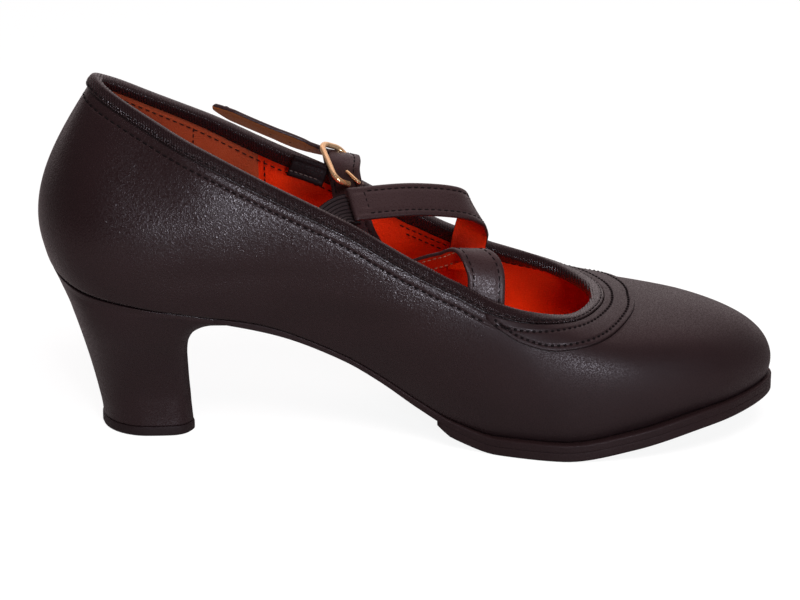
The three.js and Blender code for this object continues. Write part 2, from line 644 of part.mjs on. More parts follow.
function buckleFrame(room = 0) {
  const { middle, bar, run } = buckleSeat();
  const long = (BUCKLE_LENGTH - BUCKLE_WIRE) / 2;
  const short = (BUCKLE_BREADTH - BUCKLE_WIRE) / 2;
  const points = [];
  for (const [a, b, turn] of [[1, 1, 0], [-1, 1, 1], [-1, -1, 2], [1, -1, 3]]) {
    for (let i = 0; i <= 4; i++) {
      const angle = (Math.PI / 2) * (turn + i / 4);
      const along = a * (long - BUCKLE_CORNER) + Math.cos(angle) * BUCKLE_CORNER;
      const across = b * (short - BUCKLE_CORNER) + Math.sin(angle) * BUCKLE_CORNER;
      points.push(middle.clone().addScaledVector(bar, along).addScaledVector(run, across));
    }
  }
  return wire(points, BUCKLE_WIRE + 2 * room, true);
}

// The prong lies on the frame's face, from over its hidden bar to just in front of the strap.
function buckleProng(room = 0) {
  const { middle, bar, face, run } = buckleSeat();
  const short = (BUCKLE_BREADTH - BUCKLE_WIRE) / 2;
  const over = (BUCKLE_WIRE + PRONG_WIRE) / 2 + CLEARANCE / 3;
  const place = (across, up) =>
    middle
      .clone()
      .addScaledVector(bar, PRONG_SHARE * BUCKLE_LENGTH)
      .addScaledVector(run, across * short)
      .addScaledVector(face, up);
  const points = [place(1.1, over), place(0.6, over + PRONG_WIRE / 4), place(0, over + PRONG_WIRE / 2), place(-0.5, over)];
  return wire(points, PRONG_WIRE + 2 * room, false);
}

// The free tail tapers to a point over its last stretch.
function tailBreadth(t) {
  const left = (1 - t) * STRAP_RUN;
  return left > STRAP_WIDTH * 0.6 ? 1 : Math.max(0.18, Math.sqrt(left / (STRAP_WIDTH * 0.6)));
}

function show(name, geometry, colour, roughness, metalness = 0) {
  const mesh = new THREE.Mesh(geometry, new THREE.MeshStandardMaterial({ color: colour, roughness, metalness }));
  mesh.name = name;
  return mesh;
}

const shoe = new THREE.Group();
const BLACK_LEATHER = 0x231c1d;
shoe.add(show("upper", upper(), BLACK_LEATHER, 0.42));
shoe.add(show("topline_binding", binding(), BLACK_LEATHER, 0.45));
shoe.add(show("throat_overlay", throatOverlay(), BLACK_LEATHER, 0.42));
shoe.add(show("outsole", outsole(), 0x1c1414, 0.5));
shoe.add(show("half_sole", halfSole(), 0x1c1414, 0.5));
shoe.add(show("insole", insole(), 0xc02a0c, 0.75));
shoe.add(show("heel_block", heelBlock(), BLACK_LEATHER, 0.4));
shoe.add(show("heel_top_piece", topPiece(), 0x171112, 0.6));

const crossing = band(strapStations(CROSSING_STRAP), STRAP_WIDTH, STRAP, 40);
const buckled = band(strapStations(BUCKLE_STRAP), STRAP_WIDTH, STRAP, 62, tailBreadth);
const elastic = band(strapStations(ELASTIC_RUN), ELASTIC_WIDTH, ELASTIC, 20);
const tab = band(strapStations(TAB_RUN), TAB_WIDTH, TAB, 16);
shoe.add(show("crossing_strap", crossing.geometry, BLACK_LEATHER, 0.42));
const pressed = pressedBy(buckled.geometry, [buckleFrame(CLEARANCE), buckleProng(CLEARANCE)]);
shoe.add(show("buckle_strap", pressed, BLACK_LEATHER, 0.42));
shoe.add(show("elastic_gore", elastic.geometry, 0x121214, 0.8));
shoe.add(show("buckle_tab", tab.geometry, BLACK_LEATHER, 0.45));
shoe.add(show("buckle_frame", buckleFrame(), 0xd9a868, 0.22, 1));
shoe.add(show("buckle_prong", buckleProng(), 0xd9a868, 0.22, 1));

export default shoe;
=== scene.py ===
# A left flamenco shoe in black leather: red lining, covered heel, two instep straps and a gold buckle.
# Lengths are millimetres here and become metres as each mesh is made.
import functools
import math

import bmesh
import bpy
from mathutils import Matrix, Vector


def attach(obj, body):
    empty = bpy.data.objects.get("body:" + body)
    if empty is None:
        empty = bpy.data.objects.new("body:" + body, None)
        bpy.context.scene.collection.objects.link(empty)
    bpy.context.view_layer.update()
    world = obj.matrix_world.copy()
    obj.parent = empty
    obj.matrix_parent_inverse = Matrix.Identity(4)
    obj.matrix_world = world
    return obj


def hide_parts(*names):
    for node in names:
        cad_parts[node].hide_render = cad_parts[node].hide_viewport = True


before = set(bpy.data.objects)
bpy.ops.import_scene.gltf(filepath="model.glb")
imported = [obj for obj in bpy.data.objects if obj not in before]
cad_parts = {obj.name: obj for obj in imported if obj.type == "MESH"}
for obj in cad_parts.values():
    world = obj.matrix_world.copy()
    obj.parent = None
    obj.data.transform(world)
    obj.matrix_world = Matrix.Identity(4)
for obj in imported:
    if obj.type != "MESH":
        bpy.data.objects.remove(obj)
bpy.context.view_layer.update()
MM = 0.001

# The shoe's own sizes, the same as its solids have
LENGTH, SEAT_BACK, BALL_WIDTH = 232.0, -28.2, 77.0
HEEL_RISE, TOE_SPRING, BACK_HEIGHT, THROAT_HEIGHT = 44.0, 11.0, 68.5, 38.0
WALL, OUTSOLE, HALF_SOLE, INSOLE, TOP_PIECE, GAP = 2.0, 2.4, 3.0, 2.0, 3.4, 0.3
LEDGE, WAIST_LEDGE = 2.2, 0.2
BINDING, BINDING_OUTSIDE, BINDING_INSIDE = 0.8, 3.2, 4.3
OVERLAY_WIDTH, OVERLAY_REACH = 15.0, 0.18
BASE_LENGTH, BASE_WIDTH, BASE_MIDDLE, LIP_X = 29.1, 33.0, -1.35, 27.0
SEAT_INSET, BREAST_SKEW, SOLE_STEP_X, STEP_RUN = 0.5, 0.9, 94.0, 5.0
STRAP_WIDTH, STRAP, ELASTIC_WIDTH, ELASTIC, TAB_WIDTH, TAB = 12.0, 1.8, 11.5, 1.4, 7.5, 1.4
BUCKLE_LENGTH, BUCKLE_BREADTH, BUCKLE_WIRE, BUCKLE_CORNER = 19.0, 12.0, 2.0, 3.5
PRONG_WIRE, PRONG_SHARE = 1.5, 0.34
STACK = OUTSOLE + HALF_SOLE + 2 * GAP

# The foot line's height along the shoe: share of the length, of the heel's rise and of the toe spring
FOOT_LINE = [
    (0, 1, 0), (0.1, 0.955, 0), (0.2, 0.873, 0), (0.3, 0.745, 0), (0.4, 0.536, 0),
    (0.45, 0.388, 0), (0.5, 0.222, 0), (0.55, 0.082, 0), (0.61, 0, 0), (0.7, 0, 0),
    (0.8, 0, 0.33), (0.9, 0, 0.78), (1, 0, 1),
]
# The upper's ribs from the back to the toe
NAMES = ("foot", "inner", "outer", "rim", "half", "back", "throat", "swell", "lift", "reach", "drop")
RIBS = [
    (0, 0, 0, 0.0545, 0, 1, -0.01, 0.184, 0.35, 0.215, 0.38),
    (0.033, 0.247, 0.247, 0.078, 0.102, 0.96, -0.015, 0.168, 0.35, 0.195, 0.38),
    (0.109, 0.334, 0.338, 0.1345, 0.184, 0.88, -0.02, 0.105, 0.39, 0.14, 0.39),
    (0.208, 0.321, 0.331, 0.2034, 0.259, 0.78, 0.017, 0.082, 0.39, 0.1, 0.39),
    (0.316, 0.283, 0.329, 0.3155, 0.296, 0.57, 0.226, 0.08, 0.36, 0.08, 0.36),
    (0.445, 0.286, 0.377, 0.445, 0.337, 0.32, 0.64, 0.09, 0.37, 0.07, 0.35),
    (0.574, 0.37, 0.461, 0.5526, 0.369, 0.13, 1.01, 0.078, 0.34, 0.07, 0.3),
    (0.703, 0.474, 0.519, 0.6431, 0.386, 0, 1.098, 0.065, 0.43, 0.11, 0.2),
    (0.833, 0.436, 0.474, 0.7034, 0.312, 0, 1.005, 0.065, 0.6, 0.22, 0.13),
    (0.9405, 0.286, 0.299, 0.737, 0.155, 0, 0.965, 0.055, 0.8, 0.35, 0.1),
    (1, 0, 0, 0.7466, 0, 0, 0.96, 0.039, 0.86, 0.43, 0.1),
]
# The heel's levels: share down, and how far its back, front, outline and breadth have reached the base's
HEEL_LEVELS = [
    (0, 0, 1, 0, 1.4), (0.03, 0.033, 1, 0.03, 1.4), (0.05, 0.055, 0.8, 0.05, 1.4),
    (0.07, 0.08, 0.58, 0.09, 1.38), (0.11, 0.13, 0.34, 0.16, 1.34), (0.175, 0.21, 0.13, 0.28, 1.28),
    (0.27, 0.33, 0.01, 0.45, 1.2), (0.4, 0.48, -0.04, 0.66, 1.1), (0.6, 0.69, -0.05, 0.88, 1.01),
    (0.8, 0.87, -0.03, 1, 0.98), (0.93, 0.97, 0, 1, 0.985), (1, 1, 0.02, 1, 1),
]
# The throat crescent's breadth from the middle of the throat to its tips
OVERLAY_BREADTHS = [(0, 0.89), (0.3, 0.95), (0.55, 1), (0.75, 0.9), (0.88, 0.68), (0.96, 0.46), (1, 0.36)]
# The straps' stations: along, across, lift over the rim, and the direction of the good side
CROSSING_STRAP = [
    (0.568, 0.83, -0.174, 0, 1, 0.1), (0.572, 0.82, -0.048, 0.1, 0.95, 0.1),
    (0.578, 0.78, 0.068, 0.45, 0.75, 0.45),
    (0.581, 0.60, 0.153, 0.75, 0.35, 0.55), (0.578, 0.43, 0.215, 0.62, -0.25, 0.72),
    (0.563, 0.30, 0.237, 0.38, -0.55, 0.74),
    (0.497, 0.04, 0.182, 0.28, -0.62, 0.73), (0.406, -0.32, 0.023, 0.25, -0.62, 0.74),
]
BUCKLE_STRAP = [
    (0.590, -0.83, -0.177, 0, -1, 0), (0.593, -0.82, -0.012, 0.05, -0.98, 0.15),
    (0.591, -0.72, 0.110, 0.2, -0.85, 0.45),
    (0.572, -0.54, 0.135, 0.3, -0.1, 0.95), (0.546, -0.32, 0.033, -0.1, 0.6, 0.8),
    (0.514, -0.11, -0.087, -0.15, 0.68, 0.72),
    (0.484, 0.09, -0.201, 0, 0.4, 0.9), (0.449, 0.33, -0.269, 0.1, -0.1, 1),
    (0.421, 0.45, -0.238, -0.1, -0.75, 0.6),
    (0.407, 0.52, -0.132, -0.35, -0.92, 0.2), (0.402, 0.57, -0.040, -0.5, -0.85, 0.2),
    (0.397, 0.71, 0.030, -0.55, -0.75, 0.36),
    (0.393, 0.91, 0.077, -0.1, -0.4, 0.9), (0.387, 1.14, 0.078, 0.2, 0.2, 0.95),
    (0.374, 1.33, 0.046, 0.1, 0.45, 0.88),
    (0.346, 1.47, 0.015, 0, 0.5, 0.87), (0.298, 1.56, 0.002, 0, 0.485, 0.875),
    (0.239, 1.69, -0.014, 0, 0.485, 0.875),
    (0.207, 1.80, -0.017, 0, 0.485, 0.875),
]
ELASTIC_RUN = [
    (0.410, -0.21, -0.006, 0.25, -0.62, 0.74), (0.397, -0.31, -0.027, 0.22, -0.6, 0.78),
    (0.381, -0.59, -0.056, 0.1, -0.4, 0.9),
    (0.371, -0.81, -0.120, 0, -0.8, 0.55), (0.363, -0.87, -0.249, 0, -1, 0.1),
]
TAB_RUN = [
    (0.320, 0.77, -0.038, 0, -1, 0), (0.341, 0.77, -0.030, 0, -1, 0.05),
    (0.359, 0.77, -0.025, 0, -1, 0.1),
    (0.370, 0.76, -0.022, 0, -1, 0.1),
]
# The buckle's station and the direction of its side bars
BUCKLE_SEAT = (0.3892, 0.845, 0.0593, 0.6, -0.25, 0.76)
BUCKLE_BAR = Vector((0.36, -0.8, -0.48))
# Stitches: pitch, length and thickness
UPPER_STITCH, BINDING_STITCH, LINING_STITCH = (2.5, 1.75, 0.27), (2.4, 1.7, 0.26), (2.6, 1.8, 0.24)
INSIDE_STITCH, FOREPART_STITCH, STRAP_STITCH = (2.4, 1.7, 0.24), (2.3, 1.6, 0.22), (2.35, 1.65, 0.24)
THROAT_STITCH_AND_HOLE_SHADE, STRAP_HOLE_SHADOW, TAB_STITCH = (2.0, 1.1, 0.5), (7.0, 2.1, 1.05), (1.7, 1.3, 0.14)
STITCH_INSET = 1.9


# Camera, at the photograph's angle
camera_data = bpy.data.cameras.new("photo_camera")
camera_data.sensor_width = 36
camera_data.lens = 137.7
camera_data.clip_end = 20
camera = bpy.data.objects.new("photo_camera", camera_data)
camera.location = (0.082, -0.9396926, 0.3834202)
camera.rotation_euler = (math.radians(70), 0, 0)
bpy.context.scene.collection.objects.link(camera)
bpy.context.scene.camera = camera


# Curves through tables
def smooth_step(low, high, value):
    """Rises gently from 0 at low to 1 at high."""
    t = min(max((value - low) / (high - low), 0), 1)
    return t * t * (3 - 2 * t)


def along(rows, column, value):
    """One column of a table at a place, without overshooting between its rows."""
    x = min(max(value, rows[0][0]), rows[-1][0])
    i = min(max(k for k, row in enumerate(rows) if row[0] <= x), len(rows) - 2)

    def slope(k):
        return (rows[k + 1][column] - rows[k][column]) / (rows[k + 1][0] - rows[k][0])

    def tangent(k):
        if k in (0, len(rows) - 1):
            return slope(min(k, len(rows) - 2))
        before, after = slope(k - 1), slope(k)
        return 0 if before * after <= 0 else 2 * before * after / (before + after)

    run = rows[i + 1][0] - rows[i][0]
    t = (x - rows[i][0]) / run
    start, end = rows[i][column], rows[i + 1][column]
    bend = run * t * (1 - t) * ((1 - t) * tangent(i) - t * tangent(i + 1))
    return start + (end - start) * t * t * (3 - 2 * t) + bend


INNER_SIDE = [dict(zip(NAMES, rib)) for rib in RIBS]
OUTER_SIDE = [dict(rib) for rib in INNER_SIDE[1:-1][::-1]]
for rib in INNER_SIDE:
    rib["foot_y"], rib["rim_y"] = -rib["inner"], -rib["half"]
for rib in OUTER_SIDE:
    rib["foot_y"], rib["rim_y"] = rib["outer"], rib["half"]
ROUND = INNER_SIDE + OUTER_SIDE


def value(key, u):
    """One measure of the ribs at a place round the shoe: 0 at the back, 0.25 inside, 0.5 at the toe."""
    count = len(ROUND)
    place = (u % 1) * count
    i = int(place)
    t = place - i
    a, b, c, d = (ROUND[(i + step) % count][key] for step in (-1, 0, 1, 2))
    return b + 0.5 * t * (c - a + t * (2 * a - 5 * b + 4 * c - d + t * (3 * (b - c) + d - a)))


def foot_height(x):
    share = (x - SEAT_BACK) / LENGTH
    return STACK + along(FOOT_LINE, 1, share) * HEEL_RISE + along(FOOT_LINE, 2, share) * TOE_SPRING


def foot_point(u):
    x = SEAT_BACK + value("foot", u) * LENGTH
    return Vector((x, value("foot_y", u) * BALL_WIDTH, foot_height(x)))


def rim_point(u):
    x = SEAT_BACK + value("rim", u) * LENGTH
    rise = value("back", u) * BACK_HEIGHT + value("throat", u) * THROAT_HEIGHT
    return Vector((x, value("rim_y", u) * BALL_WIDTH, foot_height(x) + rise))


def outwards(curve, u):
    """The level direction out of a curve round the shoe."""
    run = curve(u + 1e-3) - curve(u - 1e-3)
    return Vector((run.y, -run.x, 0)).normalized()


ribs_made = {}


def rib_at(u):
    key = round(u % 1, 7)
    if key not in ribs_made:
        foot, rim = foot_point(u), rim_point(u)
        height = rim.z - foot.z
        low = foot + outwards(foot_point, u) * (value("swell", u) * BALL_WIDTH)
        low.z += value("lift", u) * height
        high = rim + outwards(rim_point, u) * (value("reach", u) * BALL_WIDTH)
        high.z -= value("drop", u) * height
        ribs_made[key] = (foot, low, high, rim)
    return ribs_made[key]


def upper_point(u, v):
    """A point of the upper's plain outer form: u round the shoe, v from the sole up to the rim."""
    foot, low, high, rim = rib_at(u)
    w = 1 - v
    return foot * w**3 + low * (3 * w * w * v) + high * (3 * w * v * v) + rim * v**3


def upper_normal(u, v):
    round_run = upper_point(u + 1e-3, v) - upper_point(u - 1e-3, v)
    up_run = upper_point(u, min(v + 1e-3, 1)) - upper_point(u, max(v - 1e-3, 0))
    return round_run.cross(up_run).normalized()


depth_tables = {}


def share_below_rim(u, distance):
    """The place up a rib at a distance below the rim, measured square to the rim."""
    key = round(u % 1, 7)
    if key not in depth_tables:
        rim_run = (rim_point(u + 1e-3) - rim_point(u - 1e-3)).normalized()
        rib_run = (upper_point(u, 1) - upper_point(u, 0.999)).normalized()
        slant = max(rim_run.cross(rib_run).length, 0.5)
        table = [(0.0, 1.0)]
        last = upper_point(u, 1)
        for k in range(1, 61):
            v = 1 - k / 60
            here = upper_point(u, v)
            table.append((table[-1][0] + (here - last).length * slant, v))
            last = here
        depth_tables[key] = table
    table = depth_tables[key]
    if distance <= 0:
        return 1.0
    for (d0, v0), (d1, v1) in zip(table, table[1:]):
        if distance <= d1:
            return v0 + (v1 - v0) * (distance - d0) / (d1 - d0)
    return 0.0


def below_rim(u, distance, offset):
    """A point at a distance below the rim, offset off the outer form, and the normal there."""
    v = share_below_rim(u, distance)
    normal = upper_normal(u, v)
    return upper_point(u, v) + normal * offset, normal


def share_at(curve, x, side):
    """The place round the shoe where a curve passes x, on the inner side for -1 and the outer for 1."""
    low, high = 0.0, 0.5
    for _ in range(40):
        middle = (low + high) / 2
        if curve(middle).x < x:
            low = middle
        else:
            high = middle
    return low if side < 0 else 1 - low


# Making meshes
def finish_mesh(bm, name, materials, nodes, weld=1e-7):
    """Makes the object, rides it on the shoe, hides the solids that it stands in for and gives it its
    materials.
    """
    if weld:
        bmesh.ops.remove_doubles(bm, verts=bm.verts, dist=weld)
    bmesh.ops.dissolve_degenerate(bm, edges=bm.edges, dist=1e-8)
    mesh = bpy.data.meshes.new(name)
    bm.to_mesh(mesh)
    bm.free()
    mesh.shade_smooth()
    for material in materials:
        mesh.materials.append(material)
    piece = bpy.data.objects.new(name, mesh)
    bpy.context.scene.collection.objects.link(piece)
    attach(piece, "root")
    if nodes:
        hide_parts(*nodes)
    return piece


def sheet(columns, rows, place, pick=None):
    """A grid whose corners are laid out by place(s, t), both from 0 to 1."""
    bm = bmesh.new()
    bmesh.ops.create_grid(bm, x_segments=columns, y_segments=rows, size=0.5)
    if pick:
        for face in bm.faces:
            middle = face.calc_center_median()
            face.material_index = pick(middle.x + 0.5, middle.y + 0.5)
    for vert in bm.verts:
        vert.co = place(vert.co.x + 0.5, vert.co.y + 0.5) * MM
    return bm


def close(bm):
    """Welds the seams of a closed form, fills its open ends and turns its faces outwards."""
    bmesh.ops.remove_doubles(bm, verts=bm.verts, dist=2e-6)
    open_edges = [edge for edge in bm.edges if edge.is_boundary]
    if open_edges:
        bmesh.ops.holes_fill(bm, edges=open_edges, sides=0)
    bmesh.ops.recalc_face_normals(bm, faces=bm.faces)
    return bm


def add_wall(piece, thickness):
    wall = piece.modifiers.new("wall", "SOLIDIFY")
    wall.thickness = thickness * MM
    wall.offset = -1
    wall.use_rim = True


# Materials
def new_group(name, inputs, outputs):
    group = bpy.data.node_groups.new(name, "ShaderNodeTree")
    for title, kind, default in inputs:
        socket = group.interface.new_socket(name=title, in_out="INPUT", socket_type=kind)
        socket.default_value = default
    for title, kind in outputs:
        group.interface.new_socket(name=title, in_out="OUTPUT", socket_type=kind)
    nodes = group.nodes
    return group, nodes, group.links, nodes.new("NodeGroupInput"), nodes.new("NodeGroupOutput")


def math_node(nodes, links, operation, first, second=None, clamp=False):
    node = nodes.new("ShaderNodeMath")
    node.operation = operation
    node.use_clamp = clamp
    for socket, item in zip(node.inputs, (first, second)):
        if item is None:
            continue
        if isinstance(item, (int, float)):
            socket.default_value = item
        else:
            links.new(item, socket)
    return node.outputs[0]


def texture(nodes, links, kind, where, scale, **settings):
    """A texture node; settings are its sockets by title or its own properties."""
    node = nodes.new(kind)
    links.new(where, node.inputs["Vector"])
    if isinstance(scale, (int, float)):
        node.inputs["Scale"].default_value = scale
    else:
        links.new(scale, node.inputs["Scale"])
    for key, item in settings.items():
        if key in node.inputs:
            node.inputs[key].default_value = item
        else:
            setattr(node, key, item)
    return node


def make_grain_group():
    """Leather grain: fine pebbles with creases between them, pores and slow unevenness."""
    group, nodes, links, given, result = new_group(
        "leather_grain",
        [("Position", "NodeSocketVector", (0, 0, 0)), ("Pebble Scale", "NodeSocketFloat", 1100.0),
         ("Unevenness", "NodeSocketFloat", 1.0), ("Gathers", "NodeSocketFloat", 0.0),
         ("Toe Smoothness", "NodeSocketFloat", 0.0)],
        [("Height", "NodeSocketFloat"), ("Tone", "NodeSocketFloat"),
         ("Sheen Spots", "NodeSocketFloat"), ("Calm", "NodeSocketFloat")],
    )
    where = given.outputs["Position"]
    maths = functools.partial(math_node, nodes, links)
    noise = functools.partial(texture, nodes, links, "ShaderNodeTexNoise", where)
    scale = given.outputs["Pebble Scale"]
    pebble = texture(nodes, links, "ShaderNodeTexVoronoi", where, scale, feature="SMOOTH_F1", Randomness=1.0)
    fine = noise(2500.0, Detail=1.0, Roughness=0.6).outputs[0]
    slow = noise(55.0, Detail=2.0, Roughness=0.45).outputs[0]
    broad = noise(240.0, Detail=3.0, Roughness=0.55).outputs[0]
    grain = maths("ADD", maths("MULTIPLY", pebble.outputs["Distance"], -0.8), maths("MULTIPLY", fine, 1.1))
    split = nodes.new("ShaderNodeSeparateXYZ")
    links.new(where, split.inputs[0])
    towards_toe = nodes.new("ShaderNodeMapRange")
    towards_toe.interpolation_type = "SMOOTHSTEP"
    towards_toe.inputs["From Min"].default_value = 0.085
    towards_toe.inputs["From Max"].default_value = 0.126
    links.new(split.outputs["X"], towards_toe.inputs["Value"])
    calm = maths("MULTIPLY", towards_toe.outputs[0], given.outputs["Toe Smoothness"])
    links.new(calm, result.inputs["Calm"])
    grain = maths("MULTIPLY", grain, maths("SUBTRACT", 1.0, calm))
    uneven = maths("ADD", maths("MULTIPLY", slow, 1.6), maths("MULTIPLY", broad, 0.12))
    uneven = maths("MULTIPLY", uneven, given.outputs["Unevenness"])
    wave = texture(
        nodes, links, "ShaderNodeTexWave", where, 380.0, bands_direction="X", Distortion=1.6, Detail=1.0
    )
    pleats = maths("MULTIPLY", wave.outputs["Fac"], given.outputs["Gathers"])
    links.new(maths("ADD", maths("ADD", grain, pleats), uneven), result.inputs["Height"])
    tone = maths("ADD", slow, maths("MULTIPLY", fine, 0.5))
    links.new(maths("SUBTRACT", tone, 0.35, clamp=True), result.inputs["Tone"])
    spots = maths("SUBTRACT", fine, 0.42, clamp=True)
    links.new(maths("MULTIPLY", spots, 5.0, clamp=True), result.inputs["Sheen Spots"])
    return group


def make_scuff_group():
    """Handling marks: faint pale specks and short rubs."""
    group, nodes, links, given, result = new_group(
        "handling_marks",
        [("Position", "NodeSocketVector", (0, 0, 0)), ("Amount", "NodeSocketFloat", 1.0)],
        [("Mask", "NodeSocketFloat")],
    )
    maths = functools.partial(math_node, nodes, links)
    noise = functools.partial(texture, nodes, links, "ShaderNodeTexNoise")
    stretch = nodes.new("ShaderNodeMapping")
    stretch.inputs["Scale"].default_value = (0.35, 1, 1.2)
    links.new(given.outputs["Position"], stretch.inputs["Vector"])
    marks = noise(stretch.outputs[0], 420.0, Detail=4.0, Roughness=0.7).outputs[0]
    field = noise(given.outputs["Position"], 30.0, Detail=1.0).outputs[0]
    sharp = maths("MULTIPLY", maths("SUBTRACT", marks, 0.62, clamp=True), 6.0, clamp=True)
    where = maths("MULTIPLY", maths("SUBTRACT", field, 0.45, clamp=True), 4.0, clamp=True)
    both = maths("MULTIPLY", sharp, where)
    links.new(maths("MULTIPLY", both, given.outputs["Amount"], clamp=True), result.inputs["Mask"])
    return group


def make_thread_group():
    """Twisted or woven thread lines running one way."""
    group, nodes, links, given, result = new_group(
        "thread_lines",
        [("Position", "NodeSocketVector", (0, 0, 0)), ("Line Scale", "NodeSocketFloat", 900.0)],
        [("Height", "NodeSocketFloat"), ("Tone", "NodeSocketFloat")],
    )
    maths = functools.partial(math_node, nodes, links)
    where, scale = given.outputs["Position"], given.outputs["Line Scale"]
    wave = texture(
        nodes, links, "ShaderNodeTexWave", where, scale, bands_direction="DIAGONAL", Distortion=1.5, Detail=2.0
    )
    fuzz = texture(nodes, links, "ShaderNodeTexNoise", where, 3500.0, Detail=2.0).outputs[0]
    links.new(maths("ADD", wave.outputs["Fac"], fuzz), result.inputs["Height"])
    links.new(maths("MULTIPLY", fuzz, 1.4, clamp=True), result.inputs["Tone"])
    return group


GRAIN, MARKS, THREAD_LINES = make_grain_group(), make_scuff_group(), make_thread_group()


def start_material(name):
    material = bpy.data.materials.new(name)
    material.use_nodes = True
    nodes, links = material.node_tree.nodes, material.node_tree.links
    shader = nodes["Principled BSDF"]
    position = nodes.new("ShaderNodeTexCoord").outputs["Object"]
    return material, nodes, links, shader, position


def mix_colours(nodes, links, mask, first, second):
    node = nodes.new("ShaderNodeMix")
    node.data_type = "RGBA"
    links.new(mask, node.inputs[0])
    for socket, item in ((node.inputs[6], first), (node.inputs[7], second)):
        if isinstance(item, tuple):
            socket.default_value = (*item, 1)
        else:
            links.new(item, socket)
    return node.outputs[2]


def spread(nodes, links, mask, low, high):
    """Spreads a mask from 0 to 1 between two values."""
    node = nodes.new("ShaderNodeMapRange")
    links.new(mask, node.inputs["Value"])
    node.inputs["To Min"].default_value = low
    node.inputs["To Max"].default_value = high
    return node.outputs[0]


def bump(nodes, links, shader, height, distance):
    """Relief from a height, with its distance in millimetres."""
    node = nodes.new("ShaderNodeBump")
    node.inputs["Distance"].default_value = distance * MM
    links.new(height, node.inputs["Height"])
    links.new(node.outputs[0], shader.inputs["Normal"])


NEUTRAL_SHEEN, WARM_SHEEN = (1, 1, 1, 1), (1, 0.84, 0.86, 1)


def leather(
    name, dark, pale, roughness, depth, pebble=1500.0, uneven=1.0, marks=0.6, specular=0.5,
    sheen=WARM_SHEEN, gathers=0.0, smooth_toe=0.0,
):
    """A leather between two colours, with grain of one depth in millimetres."""
    material, nodes, links, shader, position = start_material(name)
    surface = nodes.new("ShaderNodeGroup")
    surface.node_tree = GRAIN
    links.new(position, surface.inputs["Position"])
    surface.inputs["Pebble Scale"].default_value = pebble
    surface.inputs["Unevenness"].default_value = uneven
    surface.inputs["Gathers"].default_value = gathers
    surface.inputs["Toe Smoothness"].default_value = smooth_toe
    worn = nodes.new("ShaderNodeGroup")
    worn.node_tree = MARKS
    links.new(position, worn.inputs["Position"])
    worn.inputs["Amount"].default_value = marks
    base = mix_colours(nodes, links, surface.outputs["Tone"], dark, pale)
    rubbed = tuple(min(1, part * 2.2 + 0.01) for part in pale)
    links.new(mix_colours(nodes, links, worn.outputs["Mask"], base, rubbed), shader.inputs["Base Color"])
    rough = spread(nodes, links, surface.outputs["Sheen Spots"], roughness + 0.12, roughness - 0.16)
    duller = math_node(nodes, links, "MULTIPLY", surface.outputs["Calm"], 0.28)
    links.new(math_node(nodes, links, "ADD", rough, duller), shader.inputs["Roughness"])
    shader.inputs["Specular IOR Level"].default_value = specular
    shader.inputs["Specular Tint"].default_value = sheen
    bump(nodes, links, shader, surface.outputs["Height"], depth)
    return material


BLACK = leather(
    "black_leather", (0.0085, 0.0037, 0.0041), (0.0135, 0.0064, 0.007), 0.29, 0.085, smooth_toe=0.8
)
BINDING_BLACK = leather(
    "binding_leather", (0.008, 0.0035, 0.004), (0.013, 0.0062, 0.007), 0.26, 0.10,
    pebble=1700.0, uneven=0.8, gathers=2.4,
)
STRAP_BLACK = leather(
    "strap_leather", (0.018, 0.0088, 0.0092), (0.0285, 0.0148, 0.0153), 0.42, 0.05, uneven=2.0
)
HEEL_BLACK = leather(
    "heel_cover_leather", (0.009, 0.004, 0.0045), (0.0135, 0.0066, 0.0073), 0.34, 0.035, uneven=1.6
)
SOLE_DARK = leather(
    "sole_leather", (0.0085, 0.0037, 0.0039), (0.0155, 0.0076, 0.008), 0.56, 0.07,
    pebble=900.0, marks=1.0, specular=0.35,
)
# The tab's black is about half as bright as the upper's: painted shade, so that its face, turned to the lamps,
# stays as dark as the binding beside it.
TAB_BLACK_PAINTED_SHADE = leather(
    "tab_leather", (0.0045, 0.002, 0.0023), (0.0075, 0.0036, 0.004), 0.6, 0.07, specular=0.16
)
RUBBER = leather(
    "heel_rubber", (0.006, 0.0026, 0.0029), (0.0098, 0.005, 0.0055), 0.6, 0.05, pebble=2200.0, marks=0.8
)
RED = leather(
    "red_lining_leather", (0.55, 0.016, 0.0012), (0.82, 0.04, 0.003), 0.62, 0.13,
    pebble=1200.0, uneven=2.2, marks=0.1, specular=0.2, sheen=NEUTRAL_SHEEN,
)
BROWN = leather(
    "brown_grip_leather", (0.26, 0.036, 0.012), (0.41, 0.072, 0.026), 0.8, 0.16,
    pebble=1900.0, marks=0.5, specular=0.2, sheen=NEUTRAL_SHEEN,
)
TAN = leather(
    "tan_strap_lining", (0.56, 0.135, 0.026), (0.74, 0.21, 0.046), 0.6, 0.12,
    marks=0.3, specular=0.3, sheen=NEUTRAL_SHEEN,
)


def make_thread(name, dark, pale, roughness, specular):
    material, nodes, links, shader, position = start_material(name)
    lines = nodes.new("ShaderNodeGroup")
    lines.node_tree = THREAD_LINES
    links.new(position, lines.inputs["Position"])
    lines.inputs["Line Scale"].default_value = 1400.0
    links.new(mix_colours(nodes, links, lines.outputs["Tone"], dark, pale), shader.inputs["Base Color"])
    shader.inputs["Roughness"].default_value = roughness
    shader.inputs["Specular IOR Level"].default_value = specular
    bump(nodes, links, shader, lines.outputs["Height"], 0.05)
    return material


# Near-black thread for the stitches. The same material also stands as painted shade in the elastic's grooves,
# in the buckle strap's holes and in the throat's stitch holes.
BLACK_THREAD_AND_SHADE = make_thread("black_thread_and_painted_shade", (0.0022, 0.0012, 0.0014), (0.006, 0.0035, 0.004), 0.8, 0.2)
PALE_THREAD = make_thread("pale_thread", (0.36, 0.17, 0.09), (0.55, 0.32, 0.20), 0.7, 0.3)
GREY_THREAD = make_thread("grey_thread", (0.05, 0.032, 0.03), (0.11, 0.08, 0.075), 0.7, 0.3)
WEBBING = make_thread("elastic_webbing", (0.009, 0.005, 0.0056), (0.019, 0.012, 0.0132), 0.75, 0.3)


